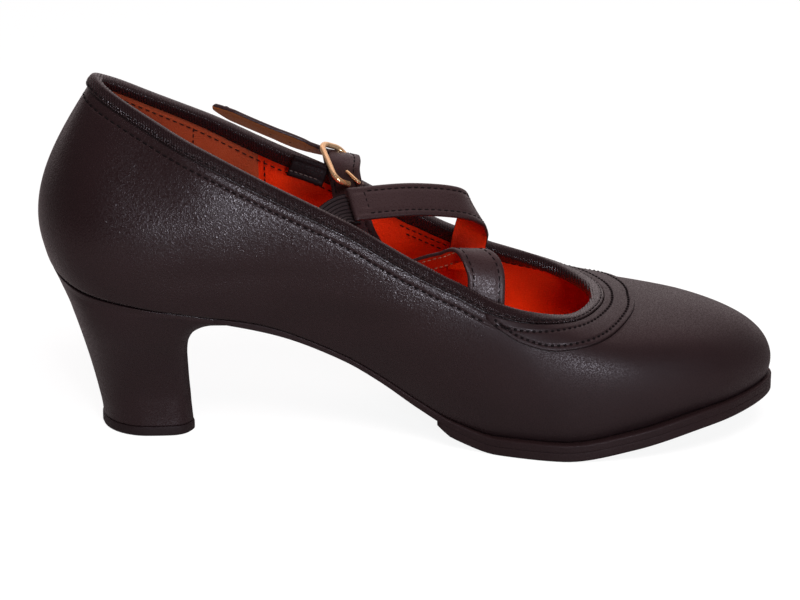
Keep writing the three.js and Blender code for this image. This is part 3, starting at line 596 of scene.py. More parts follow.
def make_gold():
    material, nodes, links, shader, position = start_material("gold_metal")
    brush = texture(nodes, links, "ShaderNodeTexNoise", position, 900.0, Detail=4.0, Roughness=0.6).outputs[0]
    slow = texture(nodes, links, "ShaderNodeTexNoise", position, 160.0, Detail=2.0).outputs[0]
    links.new(mix_colours(nodes, links, slow, (0.9, 0.5, 0.22), (1.0, 0.72, 0.44)), shader.inputs["Base Color"])
    shader.inputs["Metallic"].default_value = 0.84
    links.new(spread(nodes, links, brush, 0.14, 0.3), shader.inputs["Roughness"])
    bump(nodes, links, shader, brush, 0.02)
    return material


GOLD = make_gold()


# How stitches are laid
def add_batch(bm, batch):
    """Moves a batch of stitches into the row's mesh."""
    passing = bpy.data.meshes.new("batch")
    batch.to_mesh(passing)
    batch.free()
    bm.from_mesh(passing)
    bpy.data.meshes.remove(passing)


def stitch_row(bm, points, normals, stitch, closed=False):
    """Lays stitches of one pitch, length and thickness along a line of points."""
    pitch, length, radius = stitch
    batch = bmesh.new()
    if closed:
        points, normals = points + points[:1], normals + normals[:1]
    reach = [0.0]
    for first, second in zip(points, points[1:]):
        reach.append(reach[-1] + (second - first).length)
    count = max(1, int(reach[-1] / pitch))
    if closed:
        pitch = reach[-1] / count
    k = 0
    for number in range(count):
        at = (number + 0.5) * pitch
        while k < len(reach) - 2 and reach[k + 1] < at:
            k += 1
        share = (at - reach[k]) / max(reach[k + 1] - reach[k], 1e-9)
        middle = points[k].lerp(points[k + 1], share)
        normal = normals[k].lerp(normals[k + 1], share).normalized()
        run = (points[k + 1] - points[k]).normalized()
        normal = (normal - run * normal.dot(run)).normalized()
        side = normal.cross(run)
        turn = Matrix((
            (run.x * length / 2, side.x * radius, normal.x * radius, middle.x),
            (run.y * length / 2, side.y * radius, normal.y * radius, middle.y),
            (run.z * length / 2, side.z * radius, normal.z * radius, middle.z),
            (0, 0, 0, 1),
        ))
        placed = Matrix.Scale(MM, 4) @ turn @ Matrix.Rotation(math.pi / 2, 4, "Y")
        bmesh.ops.create_uvsphere(batch, u_segments=8, v_segments=5, radius=1, matrix=placed)
        if number % 24 == 23:
            add_batch(bm, batch)
            batch = bmesh.new()
    add_batch(bm, batch)


def line_below_rim(distance, offset, start=0.0, end=1.0, count=480):
    """The points and normals of a line that keeps its distance below the rim."""
    places = [start + (end - start) * i / count for i in range(count + (end - start < 1))]
    pairs = [below_rim(u, distance(u) if callable(distance) else distance, offset) for u in places]
    return [point for point, _ in pairs], [normal for _, normal in pairs]


# The upper's leather: dents and creases, each as a place, a size along X, Y and Z, and a depth
# The upper's creases: middle, reach along, across and up, and depth
CREASES = [
    (36, -28, 59, 34, 10, 4.2, 0.45), (-2, -26, 66, 14, 10, 5, 0.2),
    (60, -26, 44, 14, 20, 5, 0.5), (78, -27, 50, 10, 20, 4, -0.35), (96, -28, 30, 12, 20, 6, 0.35),
    (40, -27, 52, 12, 20, 5, 0.3), (112, -33, 20, 9, 20, 7, -0.3), (12, -29, 56, 16, 20, 6, 0.25),
    (60, 26, 46, 12, 20, 6, 0.5), (90, 30, 40, 10, 20, 5, -0.4), (120, 36, 22, 10, 20, 7, 0.3),
    (150, 0, 42, 5, 24, 10, 0.25), (-24, 0, 62, 12, 14, 5, 0.3),
]
GROOVE_AT, GROOVE_WIDE, GROOVE_DEEP = 6.6, 0.55, 0.28


def leather_offset(point, depth):
    """How far the leather lies off its plain form, by its place and its distance below the rim."""
    shift = 0.0
    for x, y, z, wide, across, tall, deep in CREASES:
        far = ((point.x - x) / wide) ** 2 + ((point.y - y) / across) ** 2 + ((point.z - z) / tall) ** 2
        shift -= deep * math.exp(-far)
    shift -= GROOVE_DEEP * math.exp(-(((depth - GROOVE_AT) / GROOVE_WIDE) ** 2))
    shift -= 0.25 * math.exp(-(((depth - BINDING_OUTSIDE - 0.3) / 0.5) ** 2))
    return shift


# The seam where the upper meets the heel and the waist of the sole
SEAT_SEAM = [(0, 6.2), (0.02, 6.0), (0.035, 4.8), (0.05, 3.2), (0.072, 1.5), (0.1, 0.4), (0.125, 0), (0.5, 0)]
WAIST_SEAM = [(18, 0), (30, 0.9), (38, 1.2), (55, 0.7), (80, 0), (205, 0)]
SEAT_GROOVE = [(0, 1.7), (0.04, 1.5), (0.07, 0.9), (0.1, 0.55), (0.13, 0.35), (0.5, 0.2)]


def share_above_foot(u, rise):
    """The place up a rib where it stands a given height over the foot."""
    height = rim_point(u).z - foot_point(u).z
    v = rise / (3 * value("lift", u) * height)
    for _ in range(3):
        v += (rise - (upper_point(u, v).z - foot_point(u).z)) / (3 * value("lift", u) * height)
    return max(v, 0.0)


def seam_share(u):
    near = min(u % 1, 1 - u % 1)
    rise = along(SEAT_SEAM, 1, near) + along(WAIST_SEAM, 1, foot_point(u).x)
    return share_above_foot(u, rise + along(SEAT_GROOVE, 1, near) / 2)


seam_shares = {}


def toe_tuck(s, rise):
    """How far the leather is drawn in over the sole round the toe."""
    return 0.9 * smooth_step(100, 170, foot_point(s).x) * max(0.0, 1 - rise / 0.12) ** 2


def outer_place(s, t):
    """s runs round the shoe; t runs from the turned-under edge at the sole up to the rim."""
    if s not in seam_shares:
        seam_shares[s] = seam_share(s)
    low = seam_shares[s]
    if t < 0.08:
        turn = t / 0.08
        edge = upper_point(s, low)
        out = outwards(foot_point, s)
        inward = 2.6 * (1 - turn) ** 1.6 + toe_tuck(s, 0)
        return edge - out * inward - Vector((0, 0, 0.3 * math.sin(math.pi / 2 * (1 - turn))))
    share = (t - 0.08) / 0.92
    fine = 14.0
    if share > 0.5:
        depth = fine * (1 - share) * 2
        v = share_below_rim(s, depth)
    else:
        v = low + (share_below_rim(s, fine) - low) * share * 2
        depth = fine + (1 - share * 2) * 60
    point = upper_point(s, v)
    fade = smooth_step(0, 0.08, v - low)
    point += upper_normal(s, v) * (leather_offset(point, depth) * fade)
    return point - outwards(foot_point, s) * toe_tuck(s, v - low)


bm = sheet(420, 92, outer_place)
upper_leather = finish_mesh(bm, "upper_leather", [BLACK], ["upper"], weld=2e-6)
add_wall(upper_leather, 0.9)


def lining_place(s, t):
    """The loose lining: s runs round the shoe and t from the sole up to the binding."""
    v = t * share_below_rim(s, 0.5)
    point = upper_point(s, v)
    ripple = 0.22 * math.sin(s * 61) * math.sin(t * 7 + s * 23) * (1 - t) * t * 4
    tucked = 1.7 * (1 - smooth_step(0.07, 0.15, v))
    return point - upper_normal(s, v) * (WALL + ripple * 0.6 + tucked)


bm = sheet(260, 36, lining_place)
bmesh.ops.reverse_faces(bm, faces=bm.faces)
lining = finish_mesh(bm, "red_lining", [RED], ["upper"], weld=2e-6)
add_wall(lining, 0.8)

GRIP_END = share_at(rim_point, 35.6, -1)
INSIDE_REACH = [(0, 2.3), (0.08, 2.4), (0.13, 3.0), (0.19, BINDING_INSIDE), (0.5, BINDING_INSIDE)]


def inside_reach(u):
    """How far the binding reaches down inside the rim."""
    return along(INSIDE_REACH, 1, min(u % 1, 1 - u % 1))


def grip_place(s, t):
    """The brown grip inside the heel, over the lining."""
    u = (s - 0.5) * 2 * GRIP_END
    v = 0.02 + t * (share_below_rim(u, inside_reach(u) - 0.4) - 0.02)
    edge = smooth_step(0, 0.02, s) * smooth_step(0, 0.02, 1 - s)
    return upper_point(u, v) - upper_normal(u, v) * (WALL + 0.15 + 0.35 * edge)


bm = sheet(120, 26, grip_place)
bmesh.ops.reverse_faces(bm, faces=bm.faces)
heel_grip = finish_mesh(bm, "heel_grip", [BROWN], [])
add_wall(heel_grip, 0.5)


# The binding folded over the rim
def binding_place(s, t):
    """t runs round the fold's section: down the outer leg, under it, and back up inside it."""
    normal = upper_normal(s, 1)
    rise = (upper_point(s, 1) - upper_point(s, 0.99)).normalized()
    rim = rim_point(s)
    near, far = GAP * 0.4, GAP + BINDING
    inside = inside_reach(s)

    def outer_leg(distance, offset):
        return below_rim(s, distance, offset)[0]

    if t < 0.04:
        return outer_leg(BINDING_OUTSIDE, near).lerp(outer_leg(BINDING_OUTSIDE + 0.1, far * 0.6), t / 0.04)
    if t < 0.3:
        share = (t - 0.04) / 0.26
        swell = 0.22 * math.sin(math.pi * share) - 0.2 * math.exp(-(((share - 0.22) / 0.1) ** 2))
        edge = smooth_step(0, 0.12, share)
        return outer_leg((BINDING_OUTSIDE + 0.1) * (1 - share), far * (0.6 + 0.4 * edge) + swell)
    if t < 0.5:
        angle = math.pi * (t - 0.3) / 0.2
        half = WALL / 2 + far
        middle = rim - normal * (WALL / 2)
        return middle + normal * (half * math.cos(angle)) + rise * (far * 1.1 * math.sin(angle))
    if t < 0.78:
        share = (t - 0.5) / 0.28
        swell = 0.15 * math.sin(math.pi * share) - 0.18 * math.exp(-(((share - 0.82) / 0.08) ** 2))
        edge = smooth_step(0, 0.1, 1 - share)
        return outer_leg(inside * share, -WALL - far * (0.55 + 0.45 * edge) - swell)
    if t < 0.84:
        edge = outer_leg(inside, -WALL - far * 0.55)
        return edge.lerp(outer_leg(inside, -WALL - near), (t - 0.78) / 0.06)
    if t < 0.92:
        return outer_leg(inside * (1 - (t - 0.84) / 0.08), -WALL - near)
    if t < 0.999:
        return (rim - normal * (WALL + near)).lerp(outer_leg(BINDING_OUTSIDE, near), (t - 0.92) / 0.08)
    return outer_leg(BINDING_OUTSIDE, near)


bm = close(sheet(420, 50, binding_place))
finish_mesh(bm, "topline_binding_leather", [BINDING_BLACK], ["topline_binding"])


# The crescent stitched round the throat
OVERLAY_SKIN, FIRST_ROW, LAST_ROW = 0.62, 6.2, 2.1


def row_groove(distance):
    return 0.26 * math.exp(-((distance / 0.45) ** 2))


def overlay_place(s, t):
    """s runs round the throat; t crosses the good side from the binding outwards and comes back under it."""
    turn = 2 * s - 1
    u = 0.5 + turn * OVERLAY_REACH
    first = BINDING_OUTSIDE + 0.25
    last = OVERLAY_WIDTH * along(OVERLAY_BREADTHS, 1, abs(turn))
    thin = 0.12 + 0.88 * smooth_step(0, 0.03, 1 - abs(turn))
    if t < 0.5:
        share = t * 2
        distance = first + (last - first) * share
        outer = math.sqrt(max(0.0, 1 - max(0.0, 1 - (last - distance) / 0.5) ** 2))
        inner = math.sqrt(max(0.0, 1 - max(0.0, 1 - (distance - first) / 0.4) ** 2))
        edge = outer * inner
        groove = row_groove(distance - FIRST_ROW) + row_groove(last - LAST_ROW - distance)
        return below_rim(u, distance, (GAP * 0.2 + OVERLAY_SKIN * (0.2 + 0.8 * edge) - groove) * thin)[0]
    share = (1 - t) * 2
    return below_rim(u, first + (last - first) * share, GAP * 0.1)[0]


bm = close(sheet(160, 72, overlay_place))
finish_mesh(bm, "throat_overlay_leather", [BLACK], ["throat_overlay"])


# Stitch rows on the upper
bm = bmesh.new()
points, normals = line_below_rim(BINDING_OUTSIDE - 0.75, GAP + BINDING - 0.05)
stitch_row(bm, points, normals, BINDING_STITCH, closed=True)
points, normals = line_below_rim(GROOVE_AT, -0.12, 0.5 + OVERLAY_REACH, 1.5 - OVERLAY_REACH)
stitch_row(bm, points, normals, UPPER_STITCH)
# The overlay's two rows are fat near-black dots: black thread, and painted shade for the stitch holes it sits
# in.
pressed = OVERLAY_SKIN + GAP * 0.2 - 0.24
tip = OVERLAY_REACH * 0.97
points, normals = line_below_rim(FIRST_ROW, pressed, 0.5 - tip, 0.5 + tip, 160)
stitch_row(bm, points, normals, THROAT_STITCH_AND_HOLE_SHADE)
pairs = []
for i in range(161):
    turn = (i / 80 - 1) * 0.97
    last = OVERLAY_WIDTH * along(OVERLAY_BREADTHS, 1, abs(turn))
    pairs.append(below_rim(0.5 + turn * OVERLAY_REACH, last - LAST_ROW, pressed))
stitch_row(bm, [p for p, _ in pairs], [n for _, n in pairs], THROAT_STITCH_AND_HOLE_SHADE)
finish_mesh(bm, "upper_stitches", [BLACK_THREAD_AND_SHADE], [], weld=0)

# Stitch rows inside the upper
bm = bmesh.new()
points, normals = line_below_rim(lambda u: inside_reach(u) - 0.7, -WALL - GAP - BINDING + 0.02)
stitch_row(bm, points, [-n for n in normals], INSIDE_STITCH, closed=True)
row_end = GRIP_END * 1.25
points, normals = line_below_rim(lambda u: inside_reach(u) + 2.2, -WALL - 0.52, -row_end, row_end, 240)
stitch_row(bm, points, [-n for n in normals], LINING_STITCH)
for side in (-1, 1):
    for share, low, high in ((GRIP_END * 1.02, 5.2, 20), (GRIP_END * 0.76, 4.6, 12)):
        pairs = [below_rim(side * share, low + (high - low) * i / 12, -WALL - 0.5) for i in range(13)]
        stitch_row(bm, [p for p, _ in pairs], [-n for _, n in pairs], INSIDE_STITCH)
for depth, from_x, to_x in ((6.4, 80, 106), (8.6, 84, 102)):
    start, end = sorted((share_at(rim_point, from_x, 1), share_at(rim_point, to_x, 1)))
    points, normals = line_below_rim(depth, -WALL - 0.12, start, end, 60)
    stitch_row(bm, points, [-n for n in normals], FOREPART_STITCH)
finish_mesh(bm, "lining_stitches", [BLACK_THREAD_AND_SHADE], [], weld=0)


# The sole
def ledge(u):
    """How far the sole stands out past the foot line."""
    share = value("foot", u)
    rise = smooth_step(0.48, 0.64, share) * (1 - 0.85 * smooth_step(0.84, 0.99, share))
    return WAIST_LEDGE + (LEDGE - WAIST_LEDGE) * rise


def outline_share(s, rear):
    """The place round the foot line for a layer that starts at a rear edge."""
    side = s * 2 if s <= 0.5 else 2 - s * 2
    u = rear + (0.5 - rear) * math.sin(math.pi / 2 * side)
    return u if s <= 0.5 else 1 - u


def layer_place(rear_x, profile):
    """A layer of the sole: s runs round its outline and t over its top, round its edge and under it."""
    rear = share_at(foot_point, rear_x, -1)

    def place(s, t):
        u = outline_share(s, rear)
        foot = foot_point(u)
        inward, outset, height = profile(t, u)
        edge = foot + outwards(foot_point, u) * outset
        edge.x = max(edge.x, rear_x)
        middle = Vector((max(foot.x, rear_x), 0, 0))
        point = edge.lerp(middle, inward)
        point.z = height(point.x)
        return point

    return place


def edge_profile(top, bottom, outset, round_top, round_bottom):
    """A layer's section: its top, its edge with two rounded corners, and its underside."""

    def profile(t, u):
        if t < 0.25:
            return (1 - t / 0.25) ** 1.3, outset(u) - round_top, top
        if t > 0.75:
            return ((t - 0.75) / 0.25) ** 1.3, outset(u) - round_bottom, bottom
        share = (1 - math.cos(math.pi * (t - 0.25) / 0.5)) / 2
        upper_corner = round_top * max(0.0, 1 - share / 0.22) ** 2
        lower_corner = round_bottom * max(0.0, 1 - (1 - share) / 0.22) ** 2
        return 0.0, outset(u) - upper_corner - lower_corner, lambda x: top(x) + (bottom(x) - top(x)) * share

    return profile


OUTSOLE_REAR = 19.0
WAIST_THINNING = [(19, 1.5), (45, 1.5), (60, 1.2), (75, 0.6), (90, 0), (205, 0)]


def outsole_top(x):
    return foot_height(x) - GAP * 0.3 + along(WAIST_SEAM, 1, x)


def outsole_bottom(x):
    return foot_height(x) - GAP - OUTSOLE + along(WAIST_THINNING, 1, x)


def half_top(x):
    return outsole_bottom(x) - GAP * 0.4


def half_bottom(x):
    thick = smooth_step(SOLE_STEP_X - STEP_RUN / 2, SOLE_STEP_X + STEP_RUN, x)
    return outsole_bottom(x) - GAP - HALF_SOLE * (0.25 + 0.75 * thick)


def outsole_outset(u):
    return ledge(u) - 0.9 * (1 - smooth_step(20.5, LIP_X + 1, foot_point(u).x))


outsole_edge = edge_profile(outsole_top, outsole_bottom, outsole_outset, 0.4, 0.05)
bm = close(sheet(240, 40, layer_place(OUTSOLE_REAR, outsole_edge)))
finish_mesh(bm, "outsole_leather", [SOLE_DARK], ["outsole"])
bm = close(sheet(200, 40, layer_place(SOLE_STEP_X, edge_profile(half_top, half_bottom, ledge, 0.05, 0.8))))
finish_mesh(bm, "half_sole_leather", [SOLE_DARK], ["half_sole"])


def insole_top(x):
    return foot_height(x) + INSOLE


def insole_outset(u):
    return -WALL - 0.8


insole_edge = edge_profile(insole_top, foot_height, insole_outset, 0.5, 0.3)
bm = close(sheet(220, 36, layer_place(SEAT_BACK + WALL + 0.8, insole_edge)))
finish_mesh(bm, "insole_leather", [RED], ["insole"])


# The heel
def base_breadth(share):
    """The base's outline: round at the back, nearly straight at the sides."""
    if share < 0.52:
        return math.sqrt(max(0.0, 1 - (1 - share / 0.52) ** 2))
    front = (share - 0.52) / 0.48
    return 1 - 0.08 * front**2 - 0.32 * front**8


LIP_SHARE = share_at(foot_point, LIP_X, -1)


def heel_ring(s, level, z_of):
    """A point of one level of the heel: s runs from the back along the inner side and back along the outer."""
    down, back_by, front_by, base, broad = level
    base_back, base_front = BASE_MIDDLE - BASE_LENGTH / 2, BASE_MIDDLE + BASE_LENGTH / 2
    seat_start = SEAT_BACK + SEAT_INSET
    back = seat_start + (base_back - seat_start) * back_by
    front = base_front + (LIP_X - base_front) * front_by

    def side(t, sign):
        u = LIP_SHARE * (1 - math.cos(math.pi * t)) / 2
        seat = foot_point(u if sign < 0 else 1 - u)
        share = (seat.x - SEAT_BACK) / (LIP_X - SEAT_BACK)
        seat_y = max(abs(seat.y) - SEAT_INSET * min(1, 4 * share), 0)
        base_y = base_breadth(share) * BASE_WIDTH / 2 * broad
        x = back + (front - back) * share - sign * base * share**4 * BREAST_SKEW
        if sign > 0:
            x -= 0.9 * base * share**6
        return Vector((x, sign * (seat_y + (base_y - seat_y) * base), 0))

    if s < 0.4:
        point = side(s / 0.4, -1)
    elif s > 0.6:
        point = side((1 - s) / 0.4, 1)
    else:
        point = side(1, -1).lerp(side(1, 1), (s - 0.4) / 0.2)
        point.x -= 0.8 * base * math.sin(math.pi * (s - 0.4) / 0.2)
    point.z = z_of(point.x)
    return point


flares = {}


def heel_flare(s):
    """How far the cover's top edge stands out and up from the heel's seat, to meet the upper at the seam."""
    if 0.4 <= s <= 0.6:
        return Vector((0, 0, 0))
    t = s / 0.4 if s < 0.4 else (1 - s) / 0.4
    near = LIP_SHARE * (1 - math.cos(math.pi * t)) / 2
    u = near if s < 0.4 else 1 - near
    rise = along(SEAT_SEAM, 1, near) - along(SEAT_GROOVE, 1, near) / 2
    fade = 1 - smooth_step(0.1, 0.14, near)
    seat = heel_ring(s, HEEL_LEVELS[0], foot_height)
    edge = upper_point(u, share_above_foot(u, max(rise, 0))) - outwards(foot_point, u) * 0.1
    return Vector((edge.x - seat.x, edge.y - seat.y, rise)) * fade


def heel_place(s, t):
    """The heel's cover: t runs from under the seat, over its top edge and down to the top piece."""
    down = max(0.0, (t - 0.03) / 0.97) ** 1.25
    level = (down, *(along(HEEL_LEVELS, column, down) for column in range(1, 5)))
    point = heel_ring(s, level, lambda x: (foot_height(x) - GAP * 0.5) * (1 - down) + (TOP_PIECE - 0.1) * down)
    if s not in flares:
        flares[s] = heel_flare(s)
    corner = abs(s - 0.5)
    wrap = 0.24 * math.exp(-(((corner - 0.118) / 0.0045) ** 2)) * smooth_step(0.25, 0.45, down)
    point.y += math.copysign(wrap, point.y)
    point += flares[s] * max(0.0, 1 - down / 0.16) ** 1.8
    if t < 0.03:
        inward = Vector((BASE_MIDDLE - point.x, -point.y, 0)).normalized() * (2.4 * (1 - t / 0.03) ** 1.5)
        point += inward + Vector((0, 0, 0.25 * math.sin(math.pi / 2 * (1 - t / 0.03))))
    return point


bm = close(sheet(200, 90, heel_place))
finish_mesh(bm, "heel_cover", [HEEL_BLACK], ["heel_block"])


def top_piece_place(s, t):
    """The rubber top piece: t runs down its edge to the floor."""
    profile = [(0.35, TOP_PIECE), (0.4, TOP_PIECE - 0.4), (0.4, 0.9), (0.15, 0.3), (-0.5, 0.0)]
    place = t * (len(profile) - 1)
    k = min(int(place), len(profile) - 2)
    broad = profile[k][0] + (profile[k + 1][0] - profile[k][0]) * (place - k)
    z = profile[k][1] + (profile[k + 1][1] - profile[k][1]) * (place - k)
    middle = Vector((BASE_MIDDLE, 0, 0))
    flat = heel_ring(s, HEEL_LEVELS[-1], lambda x: 0) - middle
    grown = flat * (1 + broad / flat.length) + middle
    grown.z = z
    return grown


bm = close(sheet(200, 12, top_piece_place))
finish_mesh(bm, "heel_top_piece_rubber", [RUBBER], ["heel_top_piece"])


# Straps
def catmull(points, t, power):
    """A curve through points, by centripetal (0.5) or plain (0) knots."""
    place = t * (len(points) - 1)
    i = min(int(place), len(points) - 2)
    w = place - i
    first = points[i - 1] if i > 0 else points[0] * 2 - points[1]
    last = points[i + 2] if i + 2 < len(points) else points[-1] * 2 - points[-2]
    b, c = points[i], points[i + 1]
    if power:
        spans = [max((q - p).length_squared ** 0.25, 1e-4) for p, q in ((first, b), (b, c), (c, last))]
        d0, d1, d2 = spans
        m1 = ((b - first) / d0 - (c - first) / (d0 + d1) + (c - b) / d1) * d1
        m2 = ((c - b) / d1 - (last - b) / (d1 + d2) + (last - c) / d2) * d1
    else:
        m1, m2 = (c - first) * 0.5, (last - b) * 0.5
    between = b * (1 + w * w * (2 * w - 3)) + c * (w * w * (3 - 2 * w))
    return between + m1 * (w * (1 - w) ** 2) - m2 * (w * w * (1 - w))


def stations(rows):
    """Turns a strap's table into places and directions."""
    points, faces = [], []
    for row in rows:
        x = SEAT_BACK + row[0] * LENGTH
        rim = rim_point(share_at(rim_point, x, 1))
        points.append(Vector((x, rim.y * row[1], rim.z + row[2] * BACK_HEIGHT)))
        faces.append(Vector(row[3:6]).normalized())
    return points, faces


class Band:
    """A band's middle line with its face, its run and its across direction at each place."""

    def __init__(self, rows, count):
        points, faces = stations(rows)
        self.frames = []
        for i in range(count + 1):
            t = i / count
            here = catmull(points, t, 0.5)
            run = (catmull(points, min(t + 1e-3, 1), 0.5) - catmull(points, max(t - 1e-3, 0), 0.5)).normalized()
            face = catmull(faces, t, 0).normalized()
            face = (face - run * face.dot(run)).normalized()
            self.frames.append((here, run, face, run.cross(face)))
        self.count = count
        self.reach = [0.0]
        for first, second in zip(self.frames, self.frames[1:]):
            self.reach.append(self.reach[-1] + (second[0] - first[0]).length)
        self.long = self.reach[-1]

    def at(self, t):
        place = min(max(t, 0), 1) * self.count
        i = min(int(place), self.count - 1)
        w = place - i
        one, two = self.frames[i], self.frames[i + 1]
        parts = [a.lerp(b, w) for a, b in zip(one, two)]
        return parts[0], parts[1].normalized(), parts[2].normalized(), parts[3].normalized()

    def distance(self, t):
        place = min(max(t, 0), 1) * self.count
        i = min(int(place), self.count - 1)
        return self.reach[i] + (self.reach[i + 1] - self.reach[i]) * (place - i)


def band_place(band, width, thick, breadth, relief):
    """s runs round the band's section from an edge, over the good side first; t runs along the band."""

    def place(s, t):
        here, _, face, across = band.at(t)
        far = band.distance(t)
        ends = min(far, band.long - far)
        half = width * breadth(band.long - far) / 2
        thin = math.sqrt(max(0.0, 1 - max(0.0, 1 - ends / (thick * 0.5)) ** 2))
        angle = 2 * math.pi * s
        rise = math.sin(angle)
        flat = math.copysign(abs(rise) ** 0.35, rise) if abs(rise) > 1e-9 else 0
        off = math.cos(angle) * half
        return here + across * off + face * ((thick / 2 * flat + relief(off, half, rise)) * thin)

    return place


def strap_relief(off, half, rise):
    """The turned edge and the groove of the stitches."""
    inset = half - abs(off)
    groove = math.exp(-(((inset - STITCH_INSET) / 0.35) ** 2))
    if rise > 0:
        return 0.09 * math.exp(-(((inset - 0.9) / 0.7) ** 2)) - 0.2 * groove
    return 0.12 * groove


def tail_breadth(left):
    """The tail's rounded tip, by the length left to it."""
    reach = STRAP_WIDTH * 0.6
    return 1 if left > reach else max(0.18, math.sqrt(max(left, 0) / reach))


def full_breadth(left):
    return 1


crossing = Band(CROSSING_STRAP, 160)
buckled = Band(BUCKLE_STRAP, 320)
elastic = Band(ELASTIC_RUN, 80)
tab = Band(TAB_RUN, 60)


def strap_pick(tan_from):
    """The strap's good side is black; its back is red, and tan from a share of the length on."""

    def pick(s, t):
        if 0.535 < s < 0.965:
            return 2 if t > tan_from else 1
        return 0

    return pick


NEVER, HALF_WAY = 2, 0.5
crossing_place = band_place(crossing, STRAP_WIDTH, STRAP, full_breadth, strap_relief)
bm = close(sheet(44, 150, crossing_place, strap_pick(NEVER)))
finish_mesh(bm, "crossing_strap_leather", [STRAP_BLACK, RED, TAN], ["crossing_strap"])
buckled_place = band_place(buckled, STRAP_WIDTH, STRAP, tail_breadth, strap_relief)
bm = close(sheet(44, 330, buckled_place, strap_pick(HALF_WAY)))
finish_mesh(bm, "buckle_strap_leather", [STRAP_BLACK, RED, TAN], ["buckle_strap"])


def rib_wave(share):
    """The elastic's eight ribs, across its breadth from -1 to 1."""
    return abs(math.sin(math.pi * 4 * (share + 1)))


def rib_relief(off, half, rise):
    return math.copysign(0.6 * rib_wave(off / half) ** 0.7 - 0.45, rise)


# Faces in the grooves between the ribs take the near-black thread material: painted shade in the grooves.
def groove_shade_pick(s, t):
    return 1 if rib_wave(math.cos(2 * math.pi * s)) < 0.5 else 0


bm = close(sheet(200, 60, band_place(elastic, ELASTIC_WIDTH, ELASTIC, full_breadth, rib_relief), groove_shade_pick))
finish_mesh(bm, "elastic_webbing", [WEBBING, BLACK_THREAD_AND_SHADE], ["elastic_gore"])
bm = close(sheet(40, 50, band_place(tab, TAB_WIDTH, TAB, full_breadth, strap_relief)))
finish_mesh(bm, "buckle_tab_leather", [TAB_BLACK_PAINTED_SHADE], ["buckle_tab"])


def strap_line(band, off, start, end, lift, count=160):
    """A line along a band, off its middle line and lifted over its good side or its back."""
    points, normals = [], []
    for i in range(count + 1):
        here, _, face, across = band.at(start + (end - start) * i / count)
        points.append(here + across * off + face * lift)
        normals.append(face if lift > 0 else -face)
    return points, normals


# Stitches in the straps, and near-black blobs for the buckle strap's holes: painted shadow in the holes
bm = bmesh.new()
row_at = STRAP_WIDTH / 2 - STITCH_INSET
for band, end in ((crossing, 0.972), (buckled, 0.99)):
    for side in (-1, 1):
        stitch_row(bm, *strap_line(band, side * row_at, 0.0, end, STRAP / 2 - 0.18), STRAP_STITCH)
end_place, _, end_face, end_across = crossing.at(0.965)
ends = [end_place + end_across * (row_at * (1 - i / 5)) + end_face * (STRAP / 2 - 0.1) for i in range(11)]
stitch_row(bm, ends, [end_face] * 11, (2.2, 1.6, 0.24))
finish_mesh(bm, "strap_stitches", [BLACK_THREAD_AND_SHADE], [], weld=0)

bm = bmesh.new()
for side in (-1, 1):
    stitch_row(bm, *strap_line(buckled, side * row_at, 0.0, 0.5, -STRAP / 2 + 0.08), (2.35, 1.7, 0.22))
finish_mesh(bm, "pale_stitches", [PALE_THREAD], [], weld=0)
bm = bmesh.new()
stitch_row(bm, *strap_line(tab, TAB_WIDTH / 2 - 2.0, 0.0, 0.95, TAB / 2 - 0.05), TAB_STITCH)
finish_mesh(bm, "tab_stitches", [GREY_THREAD], [], weld=0)
# The buckle strap's holes are not cut. Near-black blobs on its middle line stand for them: painted shadow.
bm = bmesh.new()
stitch_row(bm, *strap_line(buckled, 0, 0.74, 0.93, 0.0), STRAP_HOLE_SHADOW)
finish_mesh(bm, "strap_hole_shadows", [BLACK_THREAD_AND_SHADE], [], weld=0)


# The buckle
def buckle_axes():
    """The buckle's middle, the direction of its side bars, its face and the way across it."""
    x = SEAT_BACK + BUCKLE_SEAT[0] * LENGTH
    rim = rim_point(share_at(rim_point, x, 1))
    middle = Vector((x, rim.y * BUCKLE_SEAT[1], rim.z + BUCKLE_SEAT[2] * BACK_HEIGHT))
    face = Vector(BUCKLE_SEAT[3:]).normalized()
    bar = (BUCKLE_BAR - face * BUCKLE_BAR.dot(face)).normalized()
    return middle, bar, face, face.cross(bar)


def ring_path():
    """The frame's wire: an oblong with round corners."""
    middle, bar, face, run = buckle_axes()
    long, short = (BUCKLE_LENGTH - BUCKLE_WIRE) / 2, (BUCKLE_BREADTH - BUCKLE_WIRE) / 2
    points = []
    for a, b, turn in ((1, 1, 0), (-1, 1, 1), (-1, -1, 2), (1, -1, 3)):
        for i in range(9):
            angle = math.pi / 2 * (turn + i / 8)
            along_bar = a * (long - BUCKLE_CORNER) + math.cos(angle) * BUCKLE_CORNER
            across_bar = b * (short - BUCKLE_CORNER) + math.sin(angle) * BUCKLE_CORNER
            points.append(middle + bar * along_bar + run * across_bar)
    return points


def wire_place(points, radius, closed, face, flat=1.0):
    """A round or flattened wire along points; s runs round it and t along it."""
    count = len(points)

    def at(t):
        place = t * (count if closed else count - 1)
        i = int(place) % count if closed else min(int(place), count - 2)
        w = place - int(place) if closed else place - i
        return points[i].lerp(points[(i + 1) % count], w)

    def place(s, t):
        here = at(t % 1 if closed else t)
        step = 0.4 / count
        ahead = at((t + step) % 1) if closed else at(min(t + step, 1))
        behind = at((t - step) % 1) if closed else at(max(t - step, 0))
        run = (ahead - behind).normalized()
        up = (face - run * face.dot(run)).normalized()
        side = run.cross(up)
        r = radius(t)
        angle = 2 * math.pi * s
        return here + side * (math.cos(angle) * r) + up * (math.sin(angle) * r * flat)

    return place


seat, bars, front, width = buckle_axes()
bm = close(sheet(20, 216, wire_place(ring_path(), lambda t: BUCKLE_WIRE / 2, True, front, 0.9)))
finish_mesh(bm, "buckle_frame_gold", [GOLD], ["buckle_frame"])

